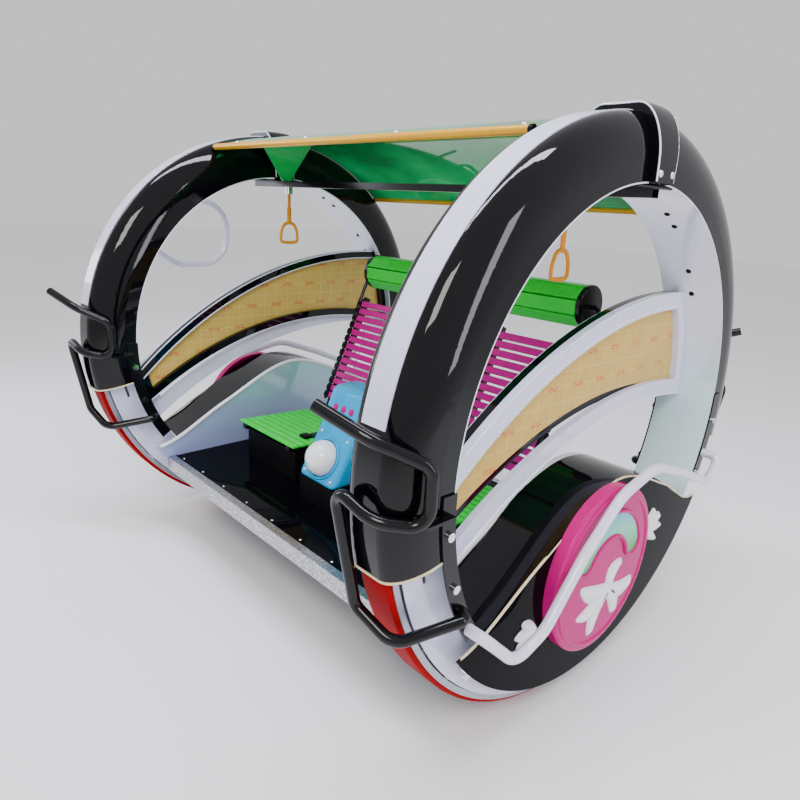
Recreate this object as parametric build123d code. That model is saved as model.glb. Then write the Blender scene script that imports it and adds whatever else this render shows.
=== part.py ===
from build123d import *
import os
from math import asin, atan2, cos, degrees, hypot, radians, sin, sqrt

# Two-ring rocking ride car for two riders.
# A seat platform hangs between two big rings.  Inside each ring a wheel ring with a tyre
# turns about the lateral axis, driven by a motor, and the platform swings between the wheels.
# Frame: millimetres, +X to the car's right ring, -Y to the front, +Z up, origin on the ground
# midway between the rings.  The right side is modelled and mirrored unless stated otherwise.

# ---------------------------------------------------------------- driving dimensions
TYRE_R = 920.0            # tyre outer radius, also the height of the ring centre
TYRE_T = 24.0             # tyre thickness
TYRE_W = 104.0            # tyre width
TYRE_EDGE = 9.0           # rounding of the tyre's outer edges
RING_SPACING = 1888.0     # between the centre planes of the two rings
RING_W = 220.0            # width of a ring housing

RIM_T = 8.0               # wheel rim thickness
RIM_LIP_T = 4.0           # thickness of the two rim lips that hold the tyre
RIM_LIP_H = 10.0          # height of the rim lips above the tyre seat

RING_DEPTH = 174.0        # from the tyre tread in to the ring opening
LINER_T = 4.0             # liner sheet thickness
SIDE_PLATE_T = 4.0
SIDE_PLATE_INSET = 36.0   # from the tyre tread in to the channel side plates
WHEEL_SIDE_GAP = 6.0      # from a rim lip to the channel side plate
SLOT_COUNT = 12           # sight slots round each side plate
SLOT_L = 60.0
SLOT_W = 12.0

ROLLER_R = 42.0           # guide roller radius
ROLLER_W = 90.0
ROLLER_GAP = 0.4          # roller to rim at rest
AXLE_R = 10.0
RUNNING_FIT = 0.05        # radial clearance of a turning bore on its shaft
AXLE_STUB = 28.0          # axle length that stands out of the outer side plate
AXLE_HEAD_R = 17.0
LOWER_ROLLER_ANGLE = 134.0  # of the two lower guide rollers, from the top of the ring

DRIVE_R = 192.0           # drive wheel radius
DRIVE_W = 60.0
DRIVE_SLOT_GAP = 8.0      # round the drive wheel where it passes the liner
DRIVE_SHAFT_R = 12.0
MOTOR_R = 48.0
MOTOR_FOOT_HALF = 43.2
MOTOR_GAP = 4.0           # motor to drive wheel, endwise
MOTOR_SEAT = 2.0          # motor to liner
BEARING_W = 30.0
BEARING_R = 34.0

FENDER_T = 5.0            # ring fender skin
TYRE_CLEARANCE = 7.0      # tyre tread to the inside of the fender
SHOULDER_H = 132.0        # height of the rounded shoulder
CROWN_HALF = 40.0         # half width of the flat crown
FENDER_BELOW = 12.0       # degrees that the fender reaches below the ring centre
BAND_T = 3.0              # white crown strip
BAND_FRONT = 11.0         # degrees above the ring centre where the crown strip starts
COLLAR_LEN = 120.0        # length of the collar along the ring
COLLAR_T = 24.0           # how far the collar stands proud of the fender

ROOF_T = 5.0              # curved acrylic roof sheet
ROOF_INSET = 9.0          # roof sheet below the fender crown
ROOF_FRONT_Y = -325.0
ROOF_REAR_Y = 614.0
ROOF_END_GAP = 3.0        # roof sheet to fender
ROOF_TRIM_R = 13.0
ROOF_TRIM_GAP = 0.1
CROSSBAR_W = 40.0
CROSSBAR_H = 26.0
BAR_PLATE_HALF = 100.0    # half length of the plate under the liner that carries the crossbar
BAR_PLATE_T = 6.0
BRACKET_HALF = 145.0      # half width of the triangular roof brackets
BRACKET_T = 6.0
BRACKET_GAP = 4.0         # roof bracket to collar

WINDOW_OFFSET = 49.0      # window centre plane, inboard of the ring's centre plane
WINDOW_TOP = (546.0, -497.0, 1817.0)     # top arc: centre y, centre z, radius
WINDOW_LOW = (450.0, -870.0, 1797.0)     # lower arc of the outer frame
WINDOW_LOW_IN = (305.0, -711.0, 1680.0)  # lower arc of the inner frame
WINDOW_BAR = 62.0         # width of the frame bars
WINDOW_BAR_IN = 40.0
WINDOW_FRAME_T = 24.0
WINDOW_PANEL_T = 3.0
WINDOW_LAP = 15.0         # panel overlap behind the frame bars

POD_PLATE_INSET = 75.0    # from the tyre tread in to the pod plates' round edge
POD_PLATE_T = 3.0
POD_HUMP = ((-760.0, 425.0), (-600.0, 450.0), (-330.0, 596.0), (50.0, 756.0),
            (420.0, 645.0), (640.0, 530.0), (790.0, 512.0))
POD_TOP_T = 3.0
DRUM_R = 288.0
DRUM_DEPTH = 42.0
DRUM_WALL = 4.0
DRUM_Y = -15.0
DRUM_Z = 470.0
DRUM_EDGE = 11.0

RAIL_R = 17.0             # outboard handrail tube radius
TUBE_WALL = 2.0
RAIL_GAP = 8.0            # handrail to drum cover face
RAIL_KNOTS = ((-520.0, 385.0), (-385.0, 425.0), (-215.0, 610.0), (-40.0, 750.0),
              (170.0, 795.0), (420.0, 710.0), (660.0, 610.0))
RAIL_BENDS = (34.0, 90.0, 110.0, 240.0, 220.0, 220.0, 300.0, 60.0, 34.0)
BULL_R = 16.0             # bull bar tube radius
# Bull bar corners: across from the ring's centre plane, back from the crown strip, height.
BULL_CORNERS = ((-67.0, -92.0, 1150.0), (66.0, -38.0, 1096.0), (138.0, 75.0, 1032.0), (138.0, 75.0, 885.0),
                (66.0, -28.0, 905.0), (-66.0, -34.0, 945.0), (-38.0, 18.0, 622.0), (76.0, 45.0, 560.0))
BULL_BENDS = (110.0, 45.0, 45.0, 90.0, 34.0, 34.0, 60.0, 22.0)
BULL_LEAD = 34.0          # straight run into the bracket plate
TAB_CORNER = 3            # the corner that the tab reaches
PLATE_T = 6.0             # bull bar bracket plates
PLATE_W = 46.0
PLATE_ABOVE = 1.0         # degrees above the ring centre
PLATE_BELOW_FRONT = 34.0  # degrees below the ring centre
PLATE_BELOW_REAR = 26.0
BAR_SEAT_BELOW = 25.5     # where the bull bar's lower end meets its plate, degrees below the centre
RAIL_FRONT_BELOW = 31.5   # where the handrail's front end meets its plate
RAIL_REAR_BELOW = 17.0
TAB_T = 8.0               # tab that ties the bull bar to its plate

DECK_TOP = 370.0
DECK_T = 4.0
DECK_FRONT = -636.0
DECK_REAR = 450.0
TRIM_H = 60.0
TRIM_T = 4.0
TRIM_LIP = 30.0
DECK_BEAM_H = 60.0
DECK_BEAM_W = 60.0
DECK_BEAM_YS = (-400.0, 260.0)

PEDESTAL_HALF_W = 115.0
PEDESTAL_FRONT = -380.0
PEDESTAL_BACK = 150.0
PEDESTAL_TOP = 475.0
PEDESTAL_T = 3.0
BATTERY = (180.0, 330.0, 90.0)
CONSOLE_HALF_W = 120.0
CONSOLE_PROFILE = ((-392.0, 475.0), (-282.0, 680.0), (-215.0, 840.0), (-70.0, 840.0), (-70.0, 475.0))
CONSOLE_WALL = 4.0
CONSOLE_CHAMFER = 34.0
DOME_R = 74.0
DOME_STEM_R = 30.0
DOME_STEM_L = 40.0
DOME_TRAVEL = 6.0
DOME_GUIDE_GAP = 0.3
DOME_REST_GAP = 0.5       # cap to console face when fully pressed
DOME_UP = 108.0           # dome centre up the slanted front face from its lower edge

SEAT_INSET = 382.0        # seat centre plane, in from the ring face
SEAT_W = 450.0
SEAT_H = 548.0            # top of the seat slats at the front
SEAT_FRONT = -340.0
SEAT_BACK = 120.0
SEAT_DROP = 20.0          # seat slopes down to the back by this much
BACK_W = 390.0
LEG_YS = (SEAT_FRONT + 60.0, SEAT_BACK - 20.0)
CROSS_DROP = 42.0         # seat rail top to the middle of the cross tubes
CROSS_START = 20.0        # first cross tube of the back above its first slat
BACK_TILT = 24.0          # degrees from the vertical
BACK_START = 85.0         # along the back from the seat corner to the first slat
BACK_SLATS = 14
BACK_PITCH = 39.0
SEAT_SLATS = 11
SLAT_H = 30.0
SLAT_T = 9.0
SLAT_ROUND = 3.0
CAP_ROUND = 6.0
BATTERY_ROUND = 8.0
BATTERY_BACK = 40.0       # battery behind the middle of the pedestal
FRAME_TUBE = 26.0
SKIRT_T = 3.0             # black sheet round the seat legs
SKIRT_GAP = 1.0
SKIRT_TOP = 505.0
SKIRT_FRONT = -310.0
HEAD_UP = 780.0           # headrest centre, along the back from the seat corner
HEAD_R = 86.0
HEAD_W = 336.0
HEAD_SLATS = 8
HEAD_SLAT_W = 56.0
HEAD_SLAT_T = 9.0
SLAT_ROUND = 3.0
CAP_ROUND = 6.0
BATTERY_ROUND = 8.0
BATTERY_BACK = 40.0       # battery behind the middle of the pedestal
CAP_T = 22.0
NECK_R = 9.0              # bent tubes that carry the headrest
NECK_OUT = 36.0           # how far they stand out from the side rails
NECK_FOOT = 560.0         # along the back
NECK_BENDS = (24.0, 24.0)
BELT_W = 46.0
BELT_T = 3.0
BELT_LIFT = 3.0           # strap above the slats
BELT_FRONT = SEAT_FRONT + 130.0
BELT_BACK = SEAT_BACK - 70.0

HANDLE_INSET = 59.0       # hanging handle, in from the ring face
HANDLE_DROP = 228.0       # crossbar centre to grip ring centre
HANDLE_RING_R = 50.0
HANDLE_T = 12.0
HANDLE_W = 14.0
HANDLE_EYE_R = 16.0       # outside of the eye on the hanger pin
HANGER_PIN_R = 5.0
HANGER_DROP = 20.0        # crossbar underside to the pin
LUG_T = 4.0
LUG_HALF = 12.0
LUG_GAP = 1.0             # handle to lug, endwise
STRAP_SINK = 4.0          # strap runs this far into the grip ring

LOOP_R = 15.0             # grab loop tube on the left ring
LOOP_OUT = 38.0           # loop plane from the ring face
LOOP_FEET = ((-470.0, 1542.0), (-628.0, 1372.0))
LOOP_CORNERS = ((-165.0, 1542.0), (-165.0, 1240.0), (-430.0, 1240.0))
LOOP_BENDS = (30.0, 135.0, 135.0, 120.0, 30.0)
BOLT_R = 12.0
BOLT_H = 9.0
FRONT_BOLTS = (7.0, 19.0) # plate bolts, degrees below the ring centre
REAR_BOLTS = (7.0, 23.0)

# ---------------------------------------------------------------- derived dimensions
RING_X = RING_SPACING / 2
LINER_R = TYRE_R - RING_DEPTH
SIDE_PLATE_R = TYRE_R - SIDE_PLATE_INSET
POD_PLATE_R = TYRE_R - POD_PLATE_INSET
FENDER_CROWN_R = TYRE_R + TYRE_CLEARANCE + FENDER_T
FENDER_SHOULDER_R = FENDER_CROWN_R - SHOULDER_H
ROOF_R = FENDER_CROWN_R - ROOF_INSET
HALF_RING = RING_W / 2
FACE_OUT = RING_X + HALF_RING          # outboard face of the right ring
FACE_IN = RING_X - HALF_RING           # inboard face of the right ring
TYRE_SEAT_R = TYRE_R - TYRE_T
RIM_IN_R = TYRE_SEAT_R - RIM_T
RIM_HALF = TYRE_W / 2 + RIM_LIP_T
SIDE_IN = RIM_HALF + WHEEL_SIDE_GAP    # inner faces of the channel side plates
SIDE_OUT = SIDE_IN + SIDE_PLATE_T
LINER_OUT_R = LINER_R + LINER_T
ROLLER_CENTRE_R = RIM_IN_R - ROLLER_R - ROLLER_GAP
DRIVE_Z = TYRE_R - RIM_IN_R + DRIVE_R + ROLLER_GAP
COLLAR_ARCH = (HALF_RING + COLLAR_T, CROWN_HALF + COLLAR_T / 2, FENDER_CROWN_R + COLLAR_T)
FENDER_ARCH = (HALF_RING, CROWN_HALF, FENDER_CROWN_R)
COLLAR_HALF_ANGLE = degrees(asin(COLLAR_LEN / 2 / FENDER_CROWN_R))
FENDER_ANGLE = 90 + FENDER_BELOW
HANDLE_X = FACE_IN - HANDLE_INSET
SEAT_X = FACE_IN - SEAT_INSET
RAIL_X = FACE_OUT + POD_PLATE_T + DRUM_DEPTH + RAIL_GAP + RAIL_R
CROSSBAR_TOP = TYRE_R + sqrt(LINER_R ** 2 - BAR_PLATE_HALF ** 2) - BAR_PLATE_T
CROSSBAR_Z = CROSSBAR_TOP - CROSSBAR_H / 2
SEAT_SLOPE = degrees(atan2(SEAT_DROP, SEAT_BACK - SEAT_FRONT))
BACK_DIR = Vector(0, sin(radians(BACK_TILT)), cos(radians(BACK_TILT)))
BACK_FACE = Vector(0, -cos(radians(BACK_TILT)), sin(radians(BACK_TILT)))
SEAT_CORNER = Vector(0, SEAT_BACK, SEAT_H - SEAT_DROP)


def save(node, *solids):
    """Write one node's solids to its own STEP file."""
    os.makedirs("parts", exist_ok=True)
    pieces = []
    for item in solids:
        pieces.extend(item.solids())
    export_step(Compound(children=pieces) if len(pieces) > 1 else pieces[0], f"parts/{node}.step")


def save_pair(name, right):
    """Write a right-hand piece and its mirror image as two nodes."""
    save(f"{name}_right", right)
    save(f"{name}_left", mirror(right, about=Plane.YZ))


def lying(radius, x_low, x_high, y=0.0, z=0.0):
    """A cylinder along X between two x values."""
    mid = (x_low + x_high) / 2
    return Pos(mid, y, z) * Rot(0, 90, 0) * Cylinder(radius, x_high - x_low)


def block(x_range, y_range, z_range):
    """A box given by its limits."""
    size = [high - low for low, high in (x_range, y_range, z_range)]
    mid = [(high + low) / 2 for low, high in (x_range, y_range, z_range)]
    return Pos(*mid) * Box(*size)


def ring_point(radius, angle, x=RING_X):
    """A point at an angle from the ring's top, positive towards the front."""
    turn = radians(angle)
    return Vector(x, -radius * sin(turn), TYRE_R + radius * cos(turn))


def swept_ring(section, rear, front):
    """Turn a section drawn in X and radius about the right ring's axis, from rear to front angle."""
    start = Rot(-rear, 0, 0) * (Plane.XZ * section)
    return Pos(RING_X, 0, TYRE_R) * revolve(start, Axis.X, revolution_arc=front + rear)


def hoop(r_out, r_in, x_low, x_high):
    """A flat-sided ring about the right ring's axis, x measured from its centre plane."""
    outer = lying(r_out, x_low, x_high)
    inner = lying(r_in, x_low - 1, x_high + 1)
    return Pos(RING_X, 0, TYRE_R) * (outer - inner)


def side_plate_shape(outline, x_low, x_high):
    """Extrude an outline drawn in Y and Z between two x values."""
    return Pos(x_low, 0, 0) * extrude(Plane.YZ * outline, amount=x_high - x_low)


def bent_tube(points, radii, radius, wall=TUBE_WALL):
    """A round tube along straight runs joined by arcs."""
    path = FilletPolyline(*points, radius=radii)
    start = Plane(origin=path @ 0, z_dir=path % 0)
    outer = sweep(start * Circle(radius), path=path)
    inner = sweep(start * Circle(radius - wall), path=path)
    return outer - inner


def arch_face(half_width, crown_half, crown_r, base_r, shoulder_r=FENDER_SHOULDER_R):
    """Arch profile in X and radius: straight sides, elliptical shoulders and a flat crown."""
    across = half_width - crown_half
    rise = crown_r - shoulder_r
    right = EllipticalCenterArc((crown_half, shoulder_r), across, rise, start_angle=0, arc_size=90)
    left = EllipticalCenterArc((-crown_half, shoulder_r), across, rise, start_angle=90, arc_size=90)
    edges = [Line((half_width, base_r), (half_width, shoulder_r)), right,
             Line((crown_half, crown_r), (-crown_half, crown_r)), left,
             Line((-half_width, shoulder_r), (-half_width, base_r)),
             Line((-half_width, base_r), (half_width, base_r))]
    return make_face(edges)


def arch_half(radius, half_width, crown_half, crown_r):
    """Half width of an arch profile at a radius on its shoulder."""
    rise = (radius - FENDER_SHOULDER_R) / (crown_r - FENDER_SHOULDER_R)
    return crown_half + (half_width - crown_half) * sqrt(1 - rise ** 2)


def fender_outer_face(base_r):
    return arch_face(*FENDER_ARCH, base_r)


# ---------------------------------------------------------------- wheels and rollers
def tyre():
    body = hoop(TYRE_R, TYRE_SEAT_R, -TYRE_W / 2, TYRE_W / 2)
    rims = body.edges().filter_by(GeomType.CIRCLE).sort_by(lambda e: e.radius)[-2:]
    return fillet(rims, TYRE_EDGE)


def rim():
    band = hoop(TYRE_SEAT_R, RIM_IN_R, -RIM_HALF, RIM_HALF)
    lip_r = TYRE_SEAT_R + RIM_LIP_H
    for side in (-1, 1):
        x_low, x_high = sorted((side * TYRE_W / 2, side * RIM_HALF))
        band += hoop(lip_r, RIM_IN_R, x_low, x_high)
    return band


def roller_angles():
    return {"top": 0.0, "front": LOWER_ROLLER_ANGLE, "rear": -LOWER_ROLLER_ANGLE}


def guide_roller(angle):
    centre = ring_point(ROLLER_CENTRE_R, angle)
    low, high = RING_X - ROLLER_W / 2, RING_X + ROLLER_W / 2
    wheel = lying(ROLLER_R, low, high, centre.Y, centre.Z)
    bore = lying(AXLE_R + RUNNING_FIT, low - 1, high + 1, centre.Y, centre.Z)
    return wheel - bore


def roller_axle(angle):
    centre = ring_point(ROLLER_CENTRE_R, angle)
    pin = lying(AXLE_R, RING_X - SIDE_OUT, RING_X + SIDE_OUT, centre.Y, centre.Z)
    head = lying(AXLE_HEAD_R, RING_X + SIDE_OUT, RING_X + SIDE_OUT + AXLE_STUB, centre.Y, centre.Z)
    return pin + head


def drive_wheel():
    wheel = lying(DRIVE_R, RING_X - DRIVE_W / 2, RING_X + DRIVE_W / 2, 0, DRIVE_Z)
    wheel = fillet(wheel.edges().filter_by(GeomType.CIRCLE), TYRE_EDGE)
    shaft = lying(DRIVE_SHAFT_R, FACE_IN + MOTOR_SEAT, FACE_OUT - MOTOR_SEAT, 0, DRIVE_Z)
    return wheel + shaft


def gear_motor():
    """Motor round the inboard end of the drive shaft, standing on the pod's inner floor."""
    low, high = FACE_IN, RING_X - DRIVE_W / 2 - MOTOR_GAP
    body = lying(MOTOR_R, low, high, 0, DRIVE_Z)
    foot = block((low, high), (-MOTOR_FOOT_HALF, MOTOR_FOOT_HALF), (liner_floor_z(), DRIVE_Z))
    return body + foot - lying(DRIVE_SHAFT_R + RUNNING_FIT, low + MOTOR_SEAT - 1, high + 1, 0, DRIVE_Z)


def liner_floor_z():
    """Height at which a foot of the motor's width stands on the liner."""
    return TYRE_R - sqrt(LINER_R ** 2 - MOTOR_FOOT_HALF ** 2)


def shaft_bearing():
    """Bearing block on the outboard end of the drive shaft."""
    high = FACE_OUT
    low = high - BEARING_W
    half = BEARING_R
    body = block((low, high), (-half, half), (liner_floor_z(), DRIVE_Z + half))
    return body - lying(DRIVE_SHAFT_R + RUNNING_FIT, low - 1, high - MOTOR_SEAT + 1, 0, DRIVE_Z)


# ---------------------------------------------------------------- ring housing
def liner():
    body = hoop(LINER_OUT_R, LINER_R, -HALF_RING, HALF_RING)
    slot_half_x = DRIVE_W / 2 + DRIVE_SLOT_GAP
    slot_half_y = sqrt(DRIVE_R ** 2 - (DRIVE_Z - (TYRE_R - LINER_R)) ** 2) + DRIVE_SLOT_GAP
    slot = block((RING_X - slot_half_x, RING_X + slot_half_x), (-slot_half_y, slot_half_y),
                 (TYRE_R - LINER_OUT_R - 50, TYRE_R - LINER_R + 50))
    return body - slot


def side_plate(side):
    low, high = sorted((side * SIDE_IN, side * SIDE_OUT))
    plate = hoop(SIDE_PLATE_R, LINER_OUT_R, low, high)
    for angle in roller_angles().values():
        centre = ring_point(ROLLER_CENTRE_R, angle)
        plate -= lying(AXLE_R, RING_X + low - 1, RING_X + high + 1, centre.Y, centre.Z)
    slot_r = (SIDE_PLATE_R + LINER_OUT_R) / 2
    slot = extrude(Plane.YZ * SlotOverall(SLOT_L, SLOT_W), amount=SIDE_PLATE_T + 2)
    for index in range(SLOT_COUNT):
        turn = (index + 0.5) * 360 / SLOT_COUNT
        cutter = Pos(RING_X + low - 1, 0, TYRE_R) * Rot(turn, 0, 0) * Pos(0, 0, slot_r) * slot
        plate -= cutter
    return plate


def fender():
    hollow = arch_face(HALF_RING - FENDER_T, CROWN_HALF, FENDER_CROWN_R - FENDER_T, LINER_OUT_R - 1)
    return swept_ring(fender_outer_face(LINER_OUT_R) - hollow, FENDER_ANGLE, FENDER_ANGLE)


def crown_band(side):
    """White strip on the fender crown, from the collar to its end; side 1 is the front."""
    middle = FENDER_CROWN_R + BAND_T / 2
    section = Pos(0, middle) * Rectangle(2 * CROWN_HALF, BAND_T)
    far = 90 - BAND_FRONT
    if side > 0:
        return swept_ring(section, -COLLAR_HALF_ANGLE, far)
    return swept_ring(section, far, -COLLAR_HALF_ANGLE)


def collar():
    outer = arch_face(*COLLAR_ARCH, LINER_R)
    inner = fender_outer_face(LINER_R - 1)
    return swept_ring(outer - inner, COLLAR_HALF_ANGLE, COLLAR_HALF_ANGLE)


# ---------------------------------------------------------------- windows
def yz_disc(centre_y, centre_z, radius):
    return Pos(centre_y, centre_z) * Circle(radius)


def window_region(low_arc, bar, disc_r):
    """Crescent between the top and lower arcs inside a disc, set in by the bar width."""
    top_y, top_z, top_r = WINDOW_TOP
    low_y, low_z, low_r = low_arc
    region = yz_disc(0, TYRE_R, disc_r) & yz_disc(top_y, top_z, top_r - bar)
    return region - yz_disc(low_y, low_z, low_r + bar)


def window_frame(low_arc, bar, x_low, x_high):
    outer = window_region(low_arc, 0, LINER_R)
    opening = window_region(low_arc, bar, LINER_R - bar)
    return side_plate_shape(outer - opening, x_low, x_high)


def window_planes():
    """Lowest x of the inner frame, of the panel and of the outer frame, and the highest x."""
    mid = RING_X - WINDOW_OFFSET
    low = mid - WINDOW_PANEL_T / 2 - WINDOW_FRAME_T
    return low, mid - WINDOW_PANEL_T / 2, mid + WINDOW_PANEL_T / 2, mid + WINDOW_PANEL_T / 2 + WINDOW_FRAME_T


def window_panel():
    _, low, high, _ = window_planes()
    lap = WINDOW_BAR_IN - WINDOW_LAP
    return side_plate_shape(window_region(WINDOW_LOW_IN, lap, LINER_R - lap), low, high)


# ---------------------------------------------------------------- side pods
def hump_curve():
    return Spline(*POD_HUMP)


def below_hump(depth=0.0):
    """Everything below the hump curve, lowered by depth."""
    curve = Pos(0, -depth) * hump_curve()
    start, end = curve @ 0, curve @ 1
    floor_z = TYRE_R - POD_PLATE_R - 50
    edges = [curve, Line(end, (end.X, floor_z)), Line((end.X, floor_z), (start.X, floor_z)),
             Line((start.X, floor_z), start)]
    return make_face(edges)


def pod_plate(x_low, x_high):
    return side_plate_shape(below_hump() & yz_disc(0, TYRE_R, POD_PLATE_R), x_low, x_high)


def pod_top():
    """Curved sheet over the pod, between the two pod plates, inside the liner."""
    skin = (below_hump() - below_hump(POD_TOP_T)) & yz_disc(0, TYRE_R, LINER_R)
    return side_plate_shape(skin, FACE_IN, FACE_OUT)


def drum_cover():
    back = FACE_OUT + POD_PLATE_T
    body = lying(DRUM_R, back, back + DRUM_DEPTH, DRUM_Y, DRUM_Z)
    body = fillet(body.edges().filter_by(GeomType.CIRCLE).sort_by(Axis.X)[-1:], DRUM_EDGE)
    hollow = lying(DRUM_R - DRUM_WALL, back - 1, back + DRUM_DEPTH - DRUM_WALL, DRUM_Y, DRUM_Z)
    edge_r = DRUM_EDGE - DRUM_WALL
    return body - fillet(hollow.edges().filter_by(GeomType.CIRCLE).sort_by(Axis.X)[-1:], edge_r)


# ---------------------------------------------------------------- rails and bars
def plate_point(angle_below, front=True, x=FACE_OUT + PLATE_T):
    """A point on the middle line of a bracket plate, on its outboard face."""
    angle = 90 + angle_below
    return ring_point(LINER_R + PLATE_W / 2, angle if front else -angle, x)


def handrail():
    """White rail along the outboard side of the pod, both ends turned in to the bracket plates."""
    first, last = plate_point(RAIL_FRONT_BELOW), plate_point(RAIL_REAR_BELOW, front=False)
    points = [first, (RAIL_X, first.Y, first.Z), *[(RAIL_X, y, z) for y, z in RAIL_KNOTS],
              (RAIL_X, last.Y, last.Z), last]
    return bent_tube(points, RAIL_BENDS, RAIL_R)


def bull_bar():
    """Serpentine front bar of the right ring: free upper end, three runs across, two bends down."""
    crown = FENDER_CROWN_R + BAND_T
    seat = plate_point(BAR_SEAT_BELOW)
    corners = [(RING_X + across, back - crown, height) for across, back, height in BULL_CORNERS]
    bar = bent_tube([*corners, (seat.X + BULL_LEAD, seat.Y, seat.Z), seat], BULL_BENDS, BULL_R)
    tab_x, tab_y, tab_z = corners[TAB_CORNER]
    plate_y = -(LINER_R + PLATE_W / 2)
    return bar + block((seat.X, tab_x), (tab_y, plate_y), (tab_z - TAB_T / 2, tab_z + TAB_T / 2))


def bracket_plate(front):
    """Curved strip on the outboard face of the right ring, at its front or its rear."""
    section = Pos(HALF_RING + PLATE_T / 2, LINER_R + PLATE_W / 2) * Rectangle(PLATE_T, PLATE_W)
    if front:
        return swept_ring(section, -(90 - PLATE_ABOVE), 90 + PLATE_BELOW_FRONT)
    return swept_ring(section, 90 + PLATE_BELOW_REAR, -(90 - PLATE_ABOVE))


def to_inboard_face(shape):
    """Mirror image in the right ring's centre plane."""
    return mirror(shape, about=Plane.YZ.offset(RING_X))


def turned_to_rear(shape):
    """Half a turn about the right ring's vertical centre line."""
    return Pos(RING_X, 0, 0) * Rot(0, 0, 180) * Pos(-RING_X, 0, 0) * shape


def shifted_left(shape):
    """Copy for the left ring: the bars are not mirrored but moved across."""
    return Pos(-RING_SPACING, 0, 0) * shape


def plate_bolts():
    """Bolts that hold one ring's outboard bracket plates."""
    bolts = []
    for front, angles in ((True, FRONT_BOLTS), (False, REAR_BOLTS)):
        for below in angles:
            spot = plate_point(below, front)
            bolts.append(lying(BOLT_R, spot.X, spot.X + BOLT_H, spot.Y, spot.Z))
    return bolts


def grab_loop():
    """White loop handle on the outboard side of the left ring."""
    plane_x = -FACE_OUT - LOOP_OUT
    start, end = LOOP_FEET
    flat = [(plane_x, y, z) for y, z in (start, *LOOP_CORNERS, end)]
    return bent_tube([(-FACE_OUT, *start), *flat, (-FACE_OUT, *end)], LOOP_BENDS, LOOP_R)


# ---------------------------------------------------------------- roof
def roof_half_length(inner_r):
    """Half length between the rings of a roof piece whose lowest point is at an inner radius."""
    return RING_X - arch_half(inner_r, *FENDER_ARCH) - ROOF_END_GAP


def roof_panel():
    """Curved sheet between the rings, notched round the collars."""
    half = roof_half_length(ROOF_R - ROOF_T)
    front = degrees(asin(-ROOF_FRONT_Y / ROOF_R))
    rear = degrees(asin(ROOF_REAR_Y / ROOF_R))
    section = Pos(-RING_X, ROOF_R - ROOF_T / 2) * Rectangle(2 * half, ROOF_T)
    sheet = swept_ring(section, rear, front)
    notch_x = RING_X - arch_half(ROOF_R - ROOF_T, *COLLAR_ARCH) - ROOF_END_GAP
    notch_y = COLLAR_LEN / 2 + 2 * ROOF_END_GAP
    for side in (-1, 1):
        x_range = sorted((side * notch_x, side * (half + 1)))
        sheet -= block(x_range, (-notch_y, notch_y), (TYRE_R, TYRE_R + ROOF_R + 1))
    return sheet


def roof_trim(edge_y):
    """Tube on a roof edge, just beyond the sheet."""
    mid_r = ROOF_R - ROOF_T / 2
    half = roof_half_length(mid_r - ROOF_TRIM_R)
    angle = degrees(asin(-edge_y / ROOF_R))
    beyond = degrees((ROOF_TRIM_R + ROOF_TRIM_GAP) / mid_r)
    centre = ring_point(mid_r, angle + (beyond if angle > 0 else -beyond))
    outer = lying(ROOF_TRIM_R, -half, half, centre.Y, centre.Z)
    return outer - lying(ROOF_TRIM_R - TUBE_WALL, -half - 1, half + 1, centre.Y, centre.Z)


def crossbar():
    outer = Box(2 * FACE_OUT, CROSSBAR_W, CROSSBAR_H)
    inner = Box(2 * FACE_OUT, CROSSBAR_W - 2 * TUBE_WALL, CROSSBAR_H - 2 * TUBE_WALL)
    return Pos(0, 0, CROSSBAR_Z) * (outer - inner)


def crossbar_plate():
    """Flat plate across the top of the ring opening that the crossbar hangs from."""
    return block((FACE_IN, FACE_OUT), (-BAR_PLATE_HALF, BAR_PLATE_HALF),
                 (CROSSBAR_TOP, CROSSBAR_TOP + BAR_PLATE_T))


def roof_bracket():
    """Triangular bracket from the crossbar up to the roof sheet, beside the right ring."""
    top_r = ROOF_R - ROOF_T
    tip = CROSSBAR_W / 2
    top_z = TYRE_R + sqrt(top_r ** 2 - BRACKET_HALF ** 2)
    outline = make_face(Polyline((-tip, CROSSBAR_TOP), (tip, CROSSBAR_TOP), (BRACKET_HALF, top_z),
                                 (-BRACKET_HALF, top_z), close=True))
    high = FACE_IN - COLLAR_T - BRACKET_GAP
    return side_plate_shape(outline, high - BRACKET_T, high)


def hanging_handle(side):
    """Strap and grip ring that swing on the crossbar's hanger pin."""
    x_mid = side * HANDLE_X
    low, high = x_mid - HANDLE_T / 2, x_mid + HANDLE_T / 2
    pivot_z = hanger_z()
    ring_z = CROSSBAR_Z - HANDLE_DROP
    grip = lying(HANDLE_RING_R, low, high, 0, ring_z)
    grip -= lying(HANDLE_RING_R - HANDLE_W, low - 1, high + 1, 0, ring_z)
    strap_z = ring_z + HANDLE_RING_R - STRAP_SINK
    strap = block((low, high), (-HANDLE_W / 2, HANDLE_W / 2), (strap_z, pivot_z))
    eye = lying(HANDLE_EYE_R, low, high, 0, pivot_z)
    return grip + strap + eye - lying(HANGER_PIN_R + RUNNING_FIT, low - 1, high + 1, 0, pivot_z)


def hanger_z():
    """Height of the hanger pin below the crossbar."""
    return CROSSBAR_Z - CROSSBAR_H / 2 - HANGER_DROP


def hanger(side):
    """Forked lug under the crossbar with the pin that carries one handle."""
    x_mid = side * HANDLE_X
    gap = HANDLE_T / 2 + LUG_GAP
    reach = gap + LUG_T
    fork = lying(HANGER_PIN_R, x_mid - reach, x_mid + reach, 0, hanger_z())
    for sign in (-1, 1):
        x_range = sorted((x_mid + sign * gap, x_mid + sign * reach))
        fork += block(x_range, (-LUG_HALF, LUG_HALF), (hanger_z() - LUG_HALF, CROSSBAR_Z - CROSSBAR_H / 2))
    return fork


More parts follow.
